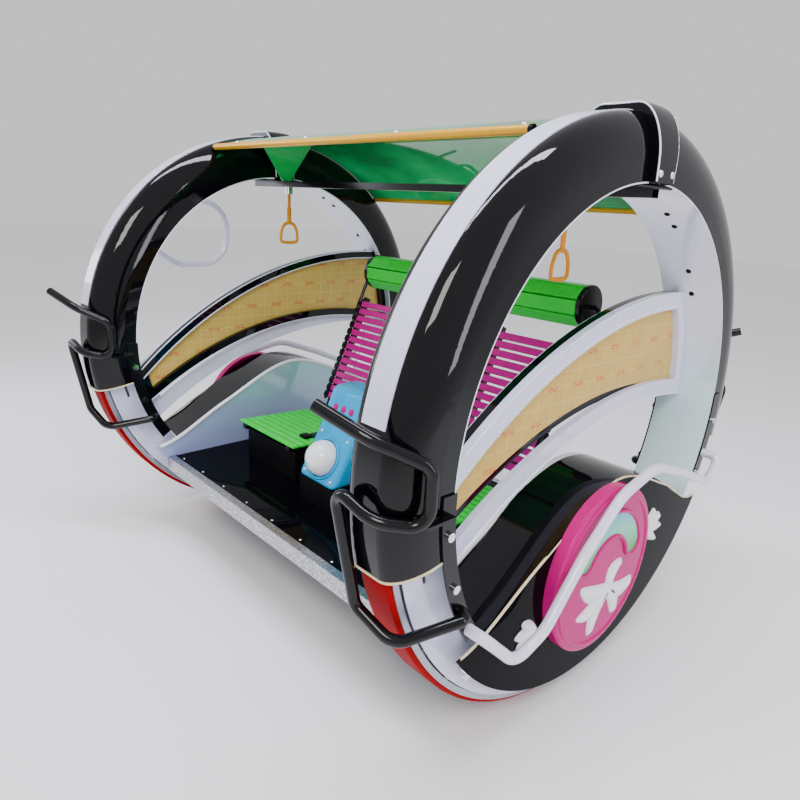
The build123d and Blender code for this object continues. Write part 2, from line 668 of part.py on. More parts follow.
# ---------------------------------------------------------------- platform
def deck_end():
    """Where the deck stops against the pod plates' inboard faces."""
    return FACE_IN - POD_PLATE_T


def deck():
    return block((-deck_end(), deck_end()), (DECK_FRONT, DECK_REAR), (DECK_TOP - DECK_T, DECK_TOP))


def deck_beam(y_mid):
    """Square tube under the deck from one ring to the other."""
    top = DECK_TOP - DECK_T
    outer = block((-deck_end(), deck_end()), (-DECK_BEAM_W / 2, DECK_BEAM_W / 2), (top - DECK_BEAM_H, top))
    wall = 2 * TUBE_WALL
    inner = block((-deck_end(), deck_end()), (-DECK_BEAM_W / 2 + wall, DECK_BEAM_W / 2 - wall),
                  (top - DECK_BEAM_H + wall, top - wall))
    return Pos(0, y_mid, 0) * (outer - inner)


def deck_trim(side):
    """Angle along the front or rear edge of the deck."""
    y_edge = DECK_FRONT if side < 0 else DECK_REAR
    y_low, y_high = sorted((y_edge, y_edge + side * TRIM_T))
    face = block((-deck_end(), deck_end()), (y_low, y_high), (DECK_TOP - TRIM_H, DECK_TOP + TRIM_T))
    y_low, y_high = sorted((y_edge, y_edge - side * TRIM_LIP))
    lip = block((-deck_end(), deck_end()), (y_low, y_high), (DECK_TOP, DECK_TOP + TRIM_T))
    return face + lip


def pedestal():
    """Sheet box between the seats, open below, that holds the battery and carries the console."""
    half, wall = PEDESTAL_HALF_W, PEDESTAL_T
    outer = block((-half, half), (PEDESTAL_FRONT, PEDESTAL_BACK), (DECK_TOP, PEDESTAL_TOP))
    inner = block((-half + wall, half - wall), (PEDESTAL_FRONT + wall, PEDESTAL_BACK - wall),
                  (DECK_TOP - 1, PEDESTAL_TOP - wall))
    return outer - inner - dome_well()


def battery():
    width, length, height = BATTERY
    mid_y = (PEDESTAL_FRONT + PEDESTAL_BACK) / 2 + BATTERY_BACK
    body = Pos(0, mid_y, DECK_TOP + height / 2) * Box(width, length, height)
    return fillet(body.edges().filter_by(Axis.Z), BATTERY_ROUND)


def console_face():
    """Plane of the slanted console front, its origin at the dome's centre and z outwards."""
    low_y, low_z = CONSOLE_PROFILE[0]
    high_y, high_z = CONSOLE_PROFILE[1]
    up = Vector(0, high_y - low_y, high_z - low_z).normalized()
    centre = Vector(0, low_y, low_z) + up * DOME_UP
    return Plane(origin=centre, x_dir=(1, 0, 0), z_dir=Vector(1, 0, 0).cross(up))


def dome_well():
    """Room behind the console face for the dome's stem."""
    depth = DOME_STEM_L + 2 * DOME_TRAVEL
    return console_face() * Pos(0, 0, -depth / 2) * Cylinder(DOME_STEM_R + DOME_TRAVEL, depth)


def console():
    outline = make_face(Polyline(*CONSOLE_PROFILE, close=True))
    body = side_plate_shape(outline, -CONSOLE_HALF_W, CONSOLE_HALF_W)
    front = body.edges().filter_by(lambda e: abs(e.tangent_at(0).X) < 0.01 and e.center().Y < -250)
    body = chamfer(front.filter_by(lambda e: e.length > 50), CONSOLE_CHAMFER)
    hollow = make_face(Polyline(*[(y + dy, z + dz) for (y, z), (dy, dz) in zip(CONSOLE_PROFILE, CONSOLE_INSET)],
                                close=True))
    half = CONSOLE_HALF_W - CONSOLE_CHAMFER - CONSOLE_WALL
    cavity = side_plate_shape(hollow, -half, half)
    hole = console_face() * Cylinder(DOME_STEM_R + DOME_GUIDE_GAP, 4 * CONSOLE_WALL)
    return body - cavity - hole


CONSOLE_INSET = ((CONSOLE_WALL + 4, -1), (CONSOLE_WALL + 3, -CONSOLE_WALL / 4), (CONSOLE_WALL, -CONSOLE_WALL),
                 (-CONSOLE_WALL, -CONSOLE_WALL), (-CONSOLE_WALL, -1))


def dome_button():
    """Push button: a domed cap over the console face with a guide stem through it."""
    gap = DOME_TRAVEL + DOME_REST_GAP
    cap = Sphere(DOME_R) & Pos(0, 0, DOME_R / 2) * Box(2 * DOME_R, 2 * DOME_R, DOME_R)
    stem = Pos(0, 0, gap / 2 - DOME_STEM_L / 2) * Cylinder(DOME_STEM_R, DOME_STEM_L + gap)
    return console_face() * ((Pos(0, 0, gap) * cap) + stem)


# ---------------------------------------------------------------- seats
def seat_top(y):
    """Height of the seat rails' upper face under the slats."""
    return SEAT_H - SLAT_T - SEAT_DROP * (y - SEAT_FRONT) / (SEAT_BACK - SEAT_FRONT)


def square_tube(start, end, x_mid, size=FRAME_TUBE):
    """A square bar between two points in Y and Z, its centre line on them."""
    a, b = Vector(x_mid, *start), Vector(x_mid, *end)
    middle = (a + b) * 0.5
    place = Plane(origin=middle, x_dir=(1, 0, 0), z_dir=(b - a).normalized())
    return place * Box(size, size, (b - a).length)


def back_point(along, depth=0.0):
    """A point up the seat back, depth behind the slats' seat faces."""
    return SEAT_CORNER + BACK_DIR * along - BACK_FACE * depth


def seat_frame(side):
    """Welded tube frame of one seat: two bent side rails, cross tubes and four legs."""
    half = FRAME_TUBE / 2
    drop = half / cos(radians(SEAT_SLOPE))
    frame = None
    corner = back_point(0, SLAT_T + half)
    top = back_point(BACK_START + BACK_SLATS * BACK_PITCH, SLAT_T + half)
    for hand in (-1, 1):
        x_mid = side * SEAT_X + hand * (BACK_W / 2 - half)
        rail = square_tube((SEAT_FRONT, seat_top(SEAT_FRONT) - drop),
                           (corner.Y, seat_top(corner.Y) - drop), x_mid)
        rail += square_tube((corner.Y, seat_top(corner.Y) - FRAME_TUBE), (top.Y, top.Z), x_mid)
        for leg_y in LEG_YS:
            leg_top = seat_top(leg_y) - half
            rail += block((x_mid - half, x_mid + half), (leg_y - half, leg_y + half), (DECK_TOP, leg_top))
        rail += neck_tube(side, hand)
        frame = rail if frame is None else frame + rail
    span = BACK_W / 2
    x_range = (side * SEAT_X - span, side * SEAT_X + span)
    for leg_y in LEG_YS:
        z_mid = seat_top(leg_y) - CROSS_DROP
        frame += block(x_range, (leg_y - half, leg_y + half), (z_mid - half, z_mid + half))
    for along in (BACK_START + CROSS_START, BACK_START + (BACK_SLATS - 1) * BACK_PITCH):
        spot = back_point(along, SLAT_T + half)
        place = Plane(origin=(side * SEAT_X, spot.Y, spot.Z), x_dir=(1, 0, 0), z_dir=BACK_DIR)
        frame += place * Box(BACK_W, FRAME_TUBE, FRAME_TUBE)
    return frame


def seat_skirt(side):
    """Sheet round the front and sides of one seat's legs, standing on the deck."""
    half = BACK_W / 2 + SKIRT_GAP + SKIRT_T
    x_mid = side * SEAT_X
    outer = block((x_mid - half, x_mid + half), (SKIRT_FRONT, SEAT_BACK), (DECK_TOP, SKIRT_TOP))
    inner = block((x_mid - half + SKIRT_T, x_mid + half - SKIRT_T), (SKIRT_FRONT + SKIRT_T, SEAT_BACK + 1),
                  (DECK_TOP - 1, SKIRT_TOP + 1))
    return outer - inner


def neck_tube(side, hand):
    """Bent tube from a side rail out, up and in to the headrest's end cap."""
    foot = back_point(NECK_FOOT, SLAT_T + FRAME_TUBE / 2)
    head = head_centre()
    rail_x = side * SEAT_X + hand * BACK_W / 2
    out_x = rail_x + hand * NECK_OUT
    cap_x = side * SEAT_X + hand * (HEAD_W / 2 + CAP_T)
    points = [(rail_x, foot.Y, foot.Z), (out_x, foot.Y, foot.Z),
              (out_x, head.Y, head.Z), (cap_x, head.Y, head.Z)]
    return bent_tube(points, NECK_BENDS, NECK_R)


def seat_slats(side):
    """Lateral slats of one seat cushion, lying on the side rails."""
    slats = []
    pitch = (SEAT_BACK - SEAT_FRONT - SLAT_H) / SEAT_SLATS
    for index in range(SEAT_SLATS):
        y = SEAT_FRONT + SLAT_H / 2 + index * pitch
        place = Pos(side * SEAT_X, y, seat_top(y)) * Rot(-SEAT_SLOPE, 0, 0) * Pos(0, 0, SLAT_T / 2)
        slats.append(place * rounded_slat(SEAT_W, SLAT_H, SLAT_T))
    return slats


def rounded_slat(length, width, thickness):
    """A slat along X with its long upper edges rounded."""
    body = Box(length, width, thickness)
    top = body.edges().filter_by(Axis.X).sort_by(Axis.Z)[-2:]
    return fillet(top, SLAT_ROUND)


def back_slats(side):
    """Lateral slats of one seat back, on the front of the side rails."""
    slats = []
    for index in range(BACK_SLATS):
        spot = back_point(BACK_START + index * BACK_PITCH, SLAT_T)
        place = Plane(origin=(side * SEAT_X, spot.Y, spot.Z), x_dir=(1, 0, 0), z_dir=BACK_FACE)
        slats.append(place * Pos(0, 0, SLAT_T / 2) * rounded_slat(BACK_W, SLAT_H, SLAT_T))
    return slats


def head_centre():
    return back_point(HEAD_UP, SLAT_T + FRAME_TUBE / 2)


def head_cap(side, hand):
    """End cap of one headrest roll."""
    spot = head_centre()
    inner = side * SEAT_X + hand * HEAD_W / 2
    outer = inner + hand * CAP_T
    low, high = sorted((inner, outer))
    cap = Rot(0, 90, 0) * Cylinder(HEAD_R, high - low)
    cap = fillet(cap.edges().filter_by(GeomType.CIRCLE), CAP_ROUND)
    return Pos((low + high) / 2, spot.Y, spot.Z) * cap


def head_slats(side):
    """Slats round one headrest roll, between its end caps."""
    spot = head_centre()
    slats = []
    for index in range(HEAD_SLATS):
        turn = (index + 0.5) * 360 / HEAD_SLATS + BACK_TILT
        place = Pos(side * SEAT_X, spot.Y, spot.Z) * Rot(turn, 0, 0) * Pos(0, 0, HEAD_R - HEAD_SLAT_T)
        slats.append(place * rounded_slat(HEAD_W, HEAD_SLAT_W, HEAD_SLAT_T))
    return slats


def belt(side):
    """Lap strap half that lies on the seat's inner side and hangs over the front of its rail."""
    x_mid = side * (SEAT_X - BACK_W / 2 + BELT_W)
    start_y, end_y = BELT_FRONT, BELT_BACK
    low_z, high_z = seat_top(start_y) + SLAT_T, seat_top(end_y) + SLAT_T
    low_z, high_z = low_z + BELT_LIFT, high_z + BELT_LIFT
    outline = make_face(Polyline((start_y, low_z), (end_y, high_z), (end_y, high_z + BELT_T),
                                 (start_y, low_z + BELT_T), close=True))
    return side_plate_shape(outline, x_mid - BELT_W / 2, x_mid + BELT_W / 2)


# ---------------------------------------------------------------- build
def build():
    for name, shape in (("tyre", tyre()), ("rim", rim()), ("drive_wheel", drive_wheel()),
                        ("liner", liner()), ("fender", fender())):
        save_pair(name, shape)
    for place, angle in roller_angles().items():
        save_pair(f"roller_{place}", guide_roller(angle))
    plates = side_plate(-1), side_plate(1)
    save("side_plates_right", *plates)
    save("side_plates_left", *[mirror(plate, about=Plane.YZ) for plate in plates])
    frame_low, panel_low, panel_high, frame_high = window_planes()
    save_pair("window_frame", window_frame(WINDOW_LOW, WINDOW_BAR, panel_high, frame_high))

    def both(*right):
        return [*right, *[mirror(shape, about=Plane.YZ) for shape in right]]

    save("pod_outer_plates", *both(pod_plate(FACE_OUT, FACE_OUT + POD_PLATE_T)))
    save("pod_inner_plates", *both(pod_plate(FACE_IN - POD_PLATE_T, FACE_IN)))
    save("pod_tops", *both(pod_top()))
    save("drum_covers", *both(drum_cover()))
    save("handrails", *both(handrail()))
    save("window_inner_frames", *both(window_frame(WINDOW_LOW_IN, WINDOW_BAR_IN, frame_low, panel_low)))
    save("window_panels", *both(window_panel()))
    save("crown_bands", *both(crown_band(1), crown_band(-1)))
    save("collars", *both(collar()))
    save("gear_motors", *both(gear_motor()))
    save("shaft_bearings", *both(shaft_bearing()))
    save("roller_axles", *both(*[roller_axle(angle) for angle in roller_angles().values()]))

    front_bar = bull_bar()
    rear_bar = turned_to_rear(front_bar)
    save("front_bull_bars", front_bar, shifted_left(front_bar))
    save("rear_bull_bars", rear_bar, shifted_left(rear_bar))
    plates = [bracket_plate(True), bracket_plate(False)]
    plates += [to_inboard_face(shape) for shape in plates]
    save("bracket_plates", *both(*plates))
    bolts = plate_bolts()
    save("plate_bolts", *both(*bolts, *[to_inboard_face(bolt) for bolt in bolts]))
    save("grab_loop", grab_loop())

    save("roof_panel", roof_panel())
    save("roof_trims", roof_trim(ROOF_FRONT_Y), roof_trim(ROOF_REAR_Y))
    save("roof_brackets", *both(roof_bracket()))
    save("crossbar", crossbar())
    save("crossbar_plates", *both(crossbar_plate()))
    save("handle_hangers", *both(hanger(1)))
    save_pair("hanging_handle", hanging_handle(1))

    save("deck", deck())
    save("deck_beams", *[deck_beam(y_mid) for y_mid in DECK_BEAM_YS])
    save("deck_trims", deck_trim(-1), deck_trim(1))
    save("pedestal", pedestal())
    save("battery_pack", battery())
    save("console", console())
    save("dome_button", dome_button())

    save("seat_frame_right", seat_frame(1))
    save("seat_frame_left", seat_frame(-1))
    save("seat_skirts", seat_skirt(1), seat_skirt(-1))
    save("seat_slats", *seat_slats(1), *seat_slats(-1))
    save("back_slats", *back_slats(1), *back_slats(-1))
    save("headrest_slats", *head_slats(1), *head_slats(-1))
    save("headrest_caps", *[head_cap(side, hand) for side in (-1, 1) for hand in (-1, 1)])
    save("seat_belts", belt(1), belt(-1))


build()
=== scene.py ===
import bmesh
import bpy
from math import asin, cos, degrees, hypot, pi, radians, sin
from mathutils import Matrix, Vector


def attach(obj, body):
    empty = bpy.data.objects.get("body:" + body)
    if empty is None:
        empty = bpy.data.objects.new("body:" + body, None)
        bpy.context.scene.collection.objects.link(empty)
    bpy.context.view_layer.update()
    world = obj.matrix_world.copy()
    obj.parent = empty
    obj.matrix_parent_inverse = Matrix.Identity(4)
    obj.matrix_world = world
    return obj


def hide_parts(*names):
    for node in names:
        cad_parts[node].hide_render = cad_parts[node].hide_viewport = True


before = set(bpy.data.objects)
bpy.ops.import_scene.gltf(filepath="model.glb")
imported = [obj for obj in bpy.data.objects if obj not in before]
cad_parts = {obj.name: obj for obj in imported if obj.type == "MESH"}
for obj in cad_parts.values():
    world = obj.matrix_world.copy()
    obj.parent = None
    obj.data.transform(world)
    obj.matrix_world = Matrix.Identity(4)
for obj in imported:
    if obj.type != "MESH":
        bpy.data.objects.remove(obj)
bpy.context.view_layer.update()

# Two-ring rocking ride car.  Metres, +X to the right ring, -Y to the front, +Z up.
# The CAD nodes carry the structure.  The pieces made here add edge beads, lights, ornaments,
# fasteners, straps and the moulded console.

# ---------------------------------------------------------------- shared dimensions
RING_X = 0.944            # centre plane of the right ring
RING_Z = 0.920            # height of the rings' axis
HALF_RING = 0.110
FACE_OUT = RING_X + HALF_RING
FACE_IN = RING_X - HALF_RING
LINER_R = 0.746
CROWN_R = 0.932
CROWN_HALF = 0.040
SHOULDER_R = 0.800
COLLAR_T = 0.024
COLLAR_HALF_Y = 0.060
COLLAR_LINE_R = 0.0025
COLLAR_SCREW_Y = 0.035
COLLAR_SCREW_Z = RING_Z + 0.770
FENDER_END = 102.0        # degrees from the top of the ring
FENDER_LIP_R = 0.0035
POD_PLATE_T = 0.003
POD_PLATE_R = 0.845
POD_BEAD_R = 0.009
POD_OUTER_BEAD_R = 0.004
POD_OUTER_BEAD_DROP = 0.002
POD_HUMP = ((-0.760, 0.425), (-0.600, 0.450), (-0.330, 0.596), (0.050, 0.756),
            (0.420, 0.645), (0.640, 0.530), (0.790, 0.512))
DRUM_Y = -0.015
DRUM_Z = 0.470
DRUM_FACE = FACE_OUT + POD_PLATE_T + 0.042
DRUM_RIM_R = 0.262
CRESCENT_INNER_R = 0.120
CRESCENT_OUTER_R = 0.205
CRESCENT_START = -72      # degrees from the drum's top, positive towards the front
CRESCENT_END = 62
SPLASH_CENTRE = (0.010, 0.395)           # y and z where the petals meet
PETALS = (                # length, angle, width and bend
    (0.18, 72, 0.064, 0.02), (0.18, 108, 0.060, 0.02), (0.17, 150, 0.060, -0.02),
    (0.14, 208, 0.060, 0.02), (0.17, 262, 0.066, -0.03), (0.11, 322, 0.056, 0.02),
)
PETAL_H = 0.016
SPRAY_W = 0.040
SPRAY_H = 0.018
SPRAYS = (                # base, then tips, on the pod plate before and behind the drum
    ((-0.340, 0.375), ((-0.372, 0.315), (-0.415, 0.330), (-0.430, 0.375), (-0.400, 0.415))),
    ((0.330, 0.480), ((0.372, 0.560), (0.420, 0.530), (0.440, 0.480), (0.410, 0.425))),
)
WINDOW_TOP = (0.546, -0.497, 1.817)      # top arc: centre y, centre z, radius
WINDOW_LOW_IN = (0.305, -0.711, 1.680)   # lower arc of the inner frame
WINDOW_LOW = (0.450, -0.870, 1.797)      # lower arc of the outer frame
WINDOW_BAR = 0.062
WINDOW_X = 0.9205         # outboard face of the outer window frame
WINDOW_X_IN = 0.8695      # inboard face of the inner window frame
WINDOW_LINE_R = 0.003
WINDOW_LINE_END = LINER_R - 0.006        # the lines stop this far from the ring's centre
LIGHT_INSET = 0.052       # light beads, in from the frame's upper edge
LIGHT_PITCH = 0.021
LIGHT_R = 0.0045
LIGHT_H = 0.0035
DECK_TOP = 0.370
DECK_FRONT = -0.636
DECK_REAR = 0.450
DECK_END = FACE_IN - POD_PLATE_T
TRIM_SCREWS = 9           # along each deck trim
TRIM_SCREW_END = 0.060    # first and last screw, in from the deck's ends
TRIM_SCREW_DROP = 0.025
TRIM_SCREW_IN = 0.050
LINER_BOLT_ANGLES = (-58, -50, -32, -26, 26, 32, 50, 58)
BOLT_R = 0.010
BOLT_H = 0.006
ROOF_R = 0.923
ROOF_FRONT_Y = -0.325
ROOF_REAR_Y = 0.614
ROOF_SHEET_MID_R = ROOF_R - 0.0025
ROOF_TRIM_R = 0.013
ROOF_TRIM_END = 0.853
ROOF_CAP_L = 0.012
ROOF_SCREW_XS = (-0.78, -0.26, 0.26, 0.78)
ROOF_SCREW_ANGLES = (17.0, -36.0)
SEAT_X = 0.452            # a seat's centre plane
BACK_HALF_W = 0.195
BACK_TILT = 24.0          # degrees from the vertical
BACK_FIRST = (0.1592, 0.6034)            # y and z of the lowest back slat's centre
BACK_PITCH = 0.039
BACK_SLATS = 14
HANDLE_X = 0.775
HANDLE_PIVOT_Z = 1.6073
HANDLE_EYE_R = 0.0105
HANDLE_HALF_T = 0.006     # half the thickness of eye, strap and grip
GRIP_DROP = 0.195         # from the pivot to the grip's middle
GRIP_NECK = 0.044         # strap end above the grip's middle
GRIP_CORNERS = ((-0.020, 0.046), (0.020, 0.046), (0.040, 0.020), (0.047, -0.018), (0.036, -0.040),
                (-0.036, -0.040), (-0.047, -0.018), (-0.040, 0.020))
CONSOLE_HALF_W = 0.120
CONSOLE_PROFILE = ((-0.392, 0.475), (-0.282, 0.680), (-0.215, 0.840), (-0.070, 0.840), (-0.070, 0.475))
CONSOLE_ROUND = 0.026
DOME_UP = 0.108           # dome centre up the console's slanted face
DOME_RING_R = 0.083
CONSOLE_BOLT_SPOTS = ((-0.085, -0.075), (0.085, -0.075), (-0.085, 0.100), (0.085, 0.100))
SWITCH_UP = 0.090         # switches up the console's upper face
SWITCH_XS = (-0.05, 0.0, 0.05)
EDGE_TUBE_R = 0.008       # tubes along the backs' sides
EDGE_TUBE_PAST = 0.7      # pitches past the first and last slat
WRAP_IN = 0.012           # wraps, from the slat's end inwards and outwards
WRAP_OUT = 0.022
WRAP_SECTION = (0.0175, 0.0080)
BELT_X = 0.303
BELT_HALF_W = 0.020
BELT_T = 0.003
BELT_KNOTS = ((0.050, 0.536), (-0.020, 0.541), (-0.120, 0.546), (-0.210, 0.548))

# ---------------------------------------------------------------- camera and light
CAMERA_PLACE = (1.942, -1.797, 1.566)
CAMERA_YAW = 46.156       # degrees from +Y towards -X
CAMERA_PITCH = 16.838     # degrees down
CAMERA_ROLL = 3.222
CAMERA_LENS = 28.68       # mm
CAMERA_SENSOR = 36.0      # mm
MIDDLE = (0, 0, 0.9)      # where the lights aim
LIGHTS = (                # name, place, size, power, colour
    ("key", (3.0, -3.4, 4.2), (1.6, 1.6), 150, (1.0, 0.98, 0.95)),
    ("fill", (-3.6, -2.2, 2.6), (1.4, 2.6), 55, (0.85, 0.90, 1.0)),
    ("top_strip", (0.4, -0.6, 4.4), (4.5, 0.4), 200, (0.86, 0.86, 1.0)),
    ("side_strip", (4.4, 0.9, 2.0), (0.5, 2.6), 45, (0.92, 0.95, 1.0)),
)
WORLD_COLOUR = (0.93, 0.94, 0.96, 1)
WORLD_STRENGTH = 0.90
FLOOR_HALF = 30.0


# ---------------------------------------------------------------- materials
def new_material(name):
    """An empty node material with a Principled shader; returns material, nodes, links, shader."""
    material = bpy.data.materials.new(name)
    material.use_nodes = True
    nodes, links = material.node_tree.nodes, material.node_tree.links
    return material, nodes, links, nodes["Principled BSDF"]


def add_noise(nodes, links, scale, detail=3.0):
    """Noise in the row frame's coordinates."""
    place = nodes.new("ShaderNodeTexCoord")
    noise = nodes.new("ShaderNodeTexNoise")
    noise.inputs["Scale"].default_value = scale
    noise.inputs["Detail"].default_value = detail
    links.new(place.outputs["Object"], noise.inputs["Vector"])
    return noise


def add_ramp(nodes, links, source, stops):
    """Colour ramp fed by a value; stops are position and colour pairs."""
    ramp = nodes.new("ShaderNodeValToRGB")
    elements = ramp.color_ramp.elements
    while len(elements) < len(stops):
        elements.new(0.5)
    for element, (position, colour) in zip(elements, stops):
        element.position = position
        element.color = (*colour, 1.0)
    links.new(source, ramp.inputs["Fac"])
    return ramp


def add_bump(nodes, links, shader, height, strength, distance=0.001):
    bump = nodes.new("ShaderNodeBump")
    bump.inputs["Strength"].default_value = strength
    bump.inputs["Distance"].default_value = distance
    links.new(height, bump.inputs["Height"])
    links.new(bump.outputs["Normal"], shader.inputs["Normal"])


def finish(name, colour, rough, metal=0.0, coat=0.0, vary=0.12, grain=40.0, bump=0.04, specular=0.5):
    """A solid finish whose tone and gloss drift slightly over the surface."""
    material, nodes, links, shader = new_material(name)
    noise = add_noise(nodes, links, grain)
    dark = tuple(channel * (1 - vary) for channel in colour)
    tone = add_ramp(nodes, links, noise.outputs["Fac"], ((0.3, dark), (0.7, colour)))
    links.new(tone.outputs["Color"], shader.inputs["Base Color"])
    shader.inputs["Roughness"].default_value = rough
    shader.inputs["Metallic"].default_value = metal
    shader.inputs["Coat Weight"].default_value = coat
    shader.inputs["Coat Roughness"].default_value = 0.03
    shader.inputs["Specular IOR Level"].default_value = specular
    add_bump(nodes, links, shader, noise.outputs["Fac"], bump)
    return material


def clear_green():
    """Transparent green acrylic sheet."""
    material, nodes, links, shader = new_material("acrylic_green")
    noise = add_noise(nodes, links, 3.0, 4.0)
    tone = add_ramp(nodes, links, noise.outputs["Fac"],
                    ((0.30, (0.002, 0.20, 0.05)), (0.52, (0.004, 0.44, 0.12)), (0.72, (0.03, 0.66, 0.22))))
    links.new(tone.outputs["Color"], shader.inputs["Base Color"])
    shader.inputs["Roughness"].default_value = 0.05
    shader.inputs["Transmission Weight"].default_value = 0.55
    shader.inputs["IOR"].default_value = 1.49
    return material


def printed_film():
    """Tan protective film with a faint grid and scattered generic marks."""
    material, nodes, links, shader = new_material("film_tan")
    place = nodes.new("ShaderNodeTexCoord")
    split = nodes.new("ShaderNodeSeparateXYZ")
    links.new(place.outputs["Object"], split.inputs["Vector"])
    flat = nodes.new("ShaderNodeCombineXYZ")
    links.new(split.outputs["Y"], flat.inputs["X"])
    links.new(split.outputs["Z"], flat.inputs["Y"])
    grid = nodes.new("ShaderNodeTexBrick")
    grid.offset = 0.0
    grid.inputs["Scale"].default_value = 1.0
    grid.inputs["Brick Width"].default_value = 0.07
    grid.inputs["Row Height"].default_value = 0.05
    grid.inputs["Mortar Size"].default_value = 0.0012
    grid.inputs["Color1"].default_value = (0.62, 0.41, 0.09, 1)
    grid.inputs["Color2"].default_value = (0.58, 0.38, 0.09, 1)
    grid.inputs["Mortar"].default_value = (0.70, 0.52, 0.22, 1)
    links.new(flat.outputs["Vector"], grid.inputs["Vector"])
    marks = nodes.new("ShaderNodeTexBrick")
    marks.offset = 0.5
    marks.inputs["Scale"].default_value = 1.0
    marks.inputs["Brick Width"].default_value = 0.14
    marks.inputs["Row Height"].default_value = 0.10
    marks.inputs["Mortar Size"].default_value = 0.044
    marks.inputs["Color1"].default_value = (1, 1, 1, 1)
    marks.inputs["Color2"].default_value = (1, 1, 1, 1)
    marks.inputs["Mortar"].default_value = (0, 0, 0, 1)
    links.new(flat.outputs["Vector"], marks.inputs["Vector"])
    speckle = nodes.new("ShaderNodeTexNoise")
    speckle.inputs["Scale"].default_value = 140.0
    links.new(flat.outputs["Vector"], speckle.inputs["Vector"])
    cut = add_ramp(nodes, links, speckle.outputs["Fac"], ((0.46, (0, 0, 0)), (0.52, (1, 1, 1))))
    both = nodes.new("ShaderNodeMath")
    both.operation = "MULTIPLY"
    links.new(marks.outputs["Color"], both.inputs[0])
    links.new(cut.outputs["Color"], both.inputs[1])
    faint = nodes.new("ShaderNodeMath")
    faint.operation = "MULTIPLY"
    faint.inputs[1].default_value = 0.8
    links.new(both.outputs["Value"], faint.inputs[0])
    mix = nodes.new("ShaderNodeMix")
    mix.data_type = "RGBA"
    mix.inputs["B"].default_value = (0.62, 0.10, 0.03, 1)
    links.new(faint.outputs["Value"], mix.inputs["Factor"])
    links.new(grid.outputs["Color"], mix.inputs["A"])
    links.new(mix.outputs["Result"], shader.inputs["Base Color"])
    shader.inputs["Roughness"].default_value = 0.30
    shader.inputs["Specular IOR Level"].default_value = 0.25
    return material


def height_blend(name, low_z, high_z, stops, rough=0.12, coat=1.0):
    """A gloss finish whose colour runs up the piece between two heights."""
    material, nodes, links, shader = new_material(name)
    place = nodes.new("ShaderNodeTexCoord")
    split = nodes.new("ShaderNodeSeparateXYZ")
    links.new(place.outputs["Object"], split.inputs["Vector"])
    reach = nodes.new("ShaderNodeMapRange")
    reach.inputs["From Min"].default_value = low_z
    reach.inputs["From Max"].default_value = high_z
    links.new(split.outputs["Z"], reach.inputs["Value"])
    ramp = add_ramp(nodes, links, reach.outputs["Result"], stops)
    links.new(ramp.outputs["Color"], shader.inputs["Base Color"])
    shader.inputs["Roughness"].default_value = rough
    shader.inputs["Coat Weight"].default_value = coat
    return material


def chequered_aluminium():
    """Mottled aluminium trim."""
    material, nodes, links, shader = new_material("aluminium_mottled")
    place = nodes.new("ShaderNodeTexCoord")
    cells = nodes.new("ShaderNodeTexVoronoi")
    cells.inputs["Scale"].default_value = 90.0
    links.new(place.outputs["Object"], cells.inputs["Vector"])
    tone = add_ramp(nodes, links, cells.outputs["Distance"],
                    ((0.1, (0.72, 0.72, 0.74)), (0.6, (0.38, 0.38, 0.41))))
    links.new(tone.outputs["Color"], shader.inputs["Base Color"])
    shader.inputs["Metallic"].default_value = 1.0
    shader.inputs["Roughness"].default_value = 0.30
    add_bump(nodes, links, shader, cells.outputs["Distance"], 0.25)
    return material


def woven():
    """Black belt webbing with ribs across its width."""
    material, nodes, links, shader = new_material("webbing_black")
    place = nodes.new("ShaderNodeTexCoord")
    ribs = nodes.new("ShaderNodeTexWave")
    ribs.inputs["Scale"].default_value = 120.0
    links.new(place.outputs["Object"], ribs.inputs["Vector"])
    tone = add_ramp(nodes, links, ribs.outputs["Fac"],
                    ((0.2, (0.004, 0.004, 0.004)), (0.8, (0.016, 0.016, 0.018))))
    links.new(tone.outputs["Color"], shader.inputs["Base Color"])
    shader.inputs["Roughness"].default_value = 0.75
    add_bump(nodes, links, shader, ribs.outputs["Fac"], 0.4)
    return material


def gloss(name, colour, coat=0.35, rough=0.08, specular=0.5):
    return finish(name, colour, rough, coat=coat, vary=0.06, bump=0.01, specular=specular)


BLACK_GLOSS = finish("black_gloss", (0.002, 0.002, 0.003), 0.04, vary=0.06, bump=0.01, specular=0.28)
BLACK_PLATE = finish("black_plate", (0.002, 0.002, 0.003), 0.03, vary=0.06, bump=0.01, specular=0.03)
BLACK_METAL = finish("black_metal", (0.003, 0.003, 0.004), 0.16, specular=0.3)
BLACK_SATIN = finish("black_satin", (0.004, 0.004, 0.005), 0.45, specular=0.12)
WHITE_GLOSS = gloss("white_gloss", (0.70, 0.69, 0.88))
WHITE_RAIL = gloss("white_rail", (0.74, 0.73, 0.88))
WHITE_MOULDING = gloss("white_moulding", (0.86, 0.86, 0.92))
RIM_STEEL = finish("rim_steel", (0.42, 0.43, 0.50), 0.35, metal=0.6)
CHROME = finish("chrome", (0.82, 0.82, 0.85), 0.10, metal=1.0, bump=0.02)
CAST_METAL = finish("cast_metal", (0.35, 0.35, 0.37), 0.5, metal=0.9, bump=0.2)
TYRE_RED = finish("tyre_red", (0.30, 0.0, 0.003), 0.50, specular=0.03, grain=220.0, bump=0.15)
TREAD_BLACK = finish("tread_black", (0.03, 0.03, 0.03), 0.75, grain=200.0, bump=0.3)
PINK = gloss("pink_moulding", (0.52, 0.0, 0.17), coat=0.0, rough=0.16, specular=0.12)
MAGENTA = finish("magenta_slat", (0.62, 0.0, 0.27), 0.35, specular=0.15)
GREEN = finish("green_slat", (0.0, 0.72, 0.05), 0.35, specular=0.12)
BRACKET_GREEN = gloss("bracket_green", (0.01, 0.55, 0.12))
GOLD = finish("gold_trim", (0.72, 0.36, 0.01), 0.30, metal=0.2, specular=0.3)
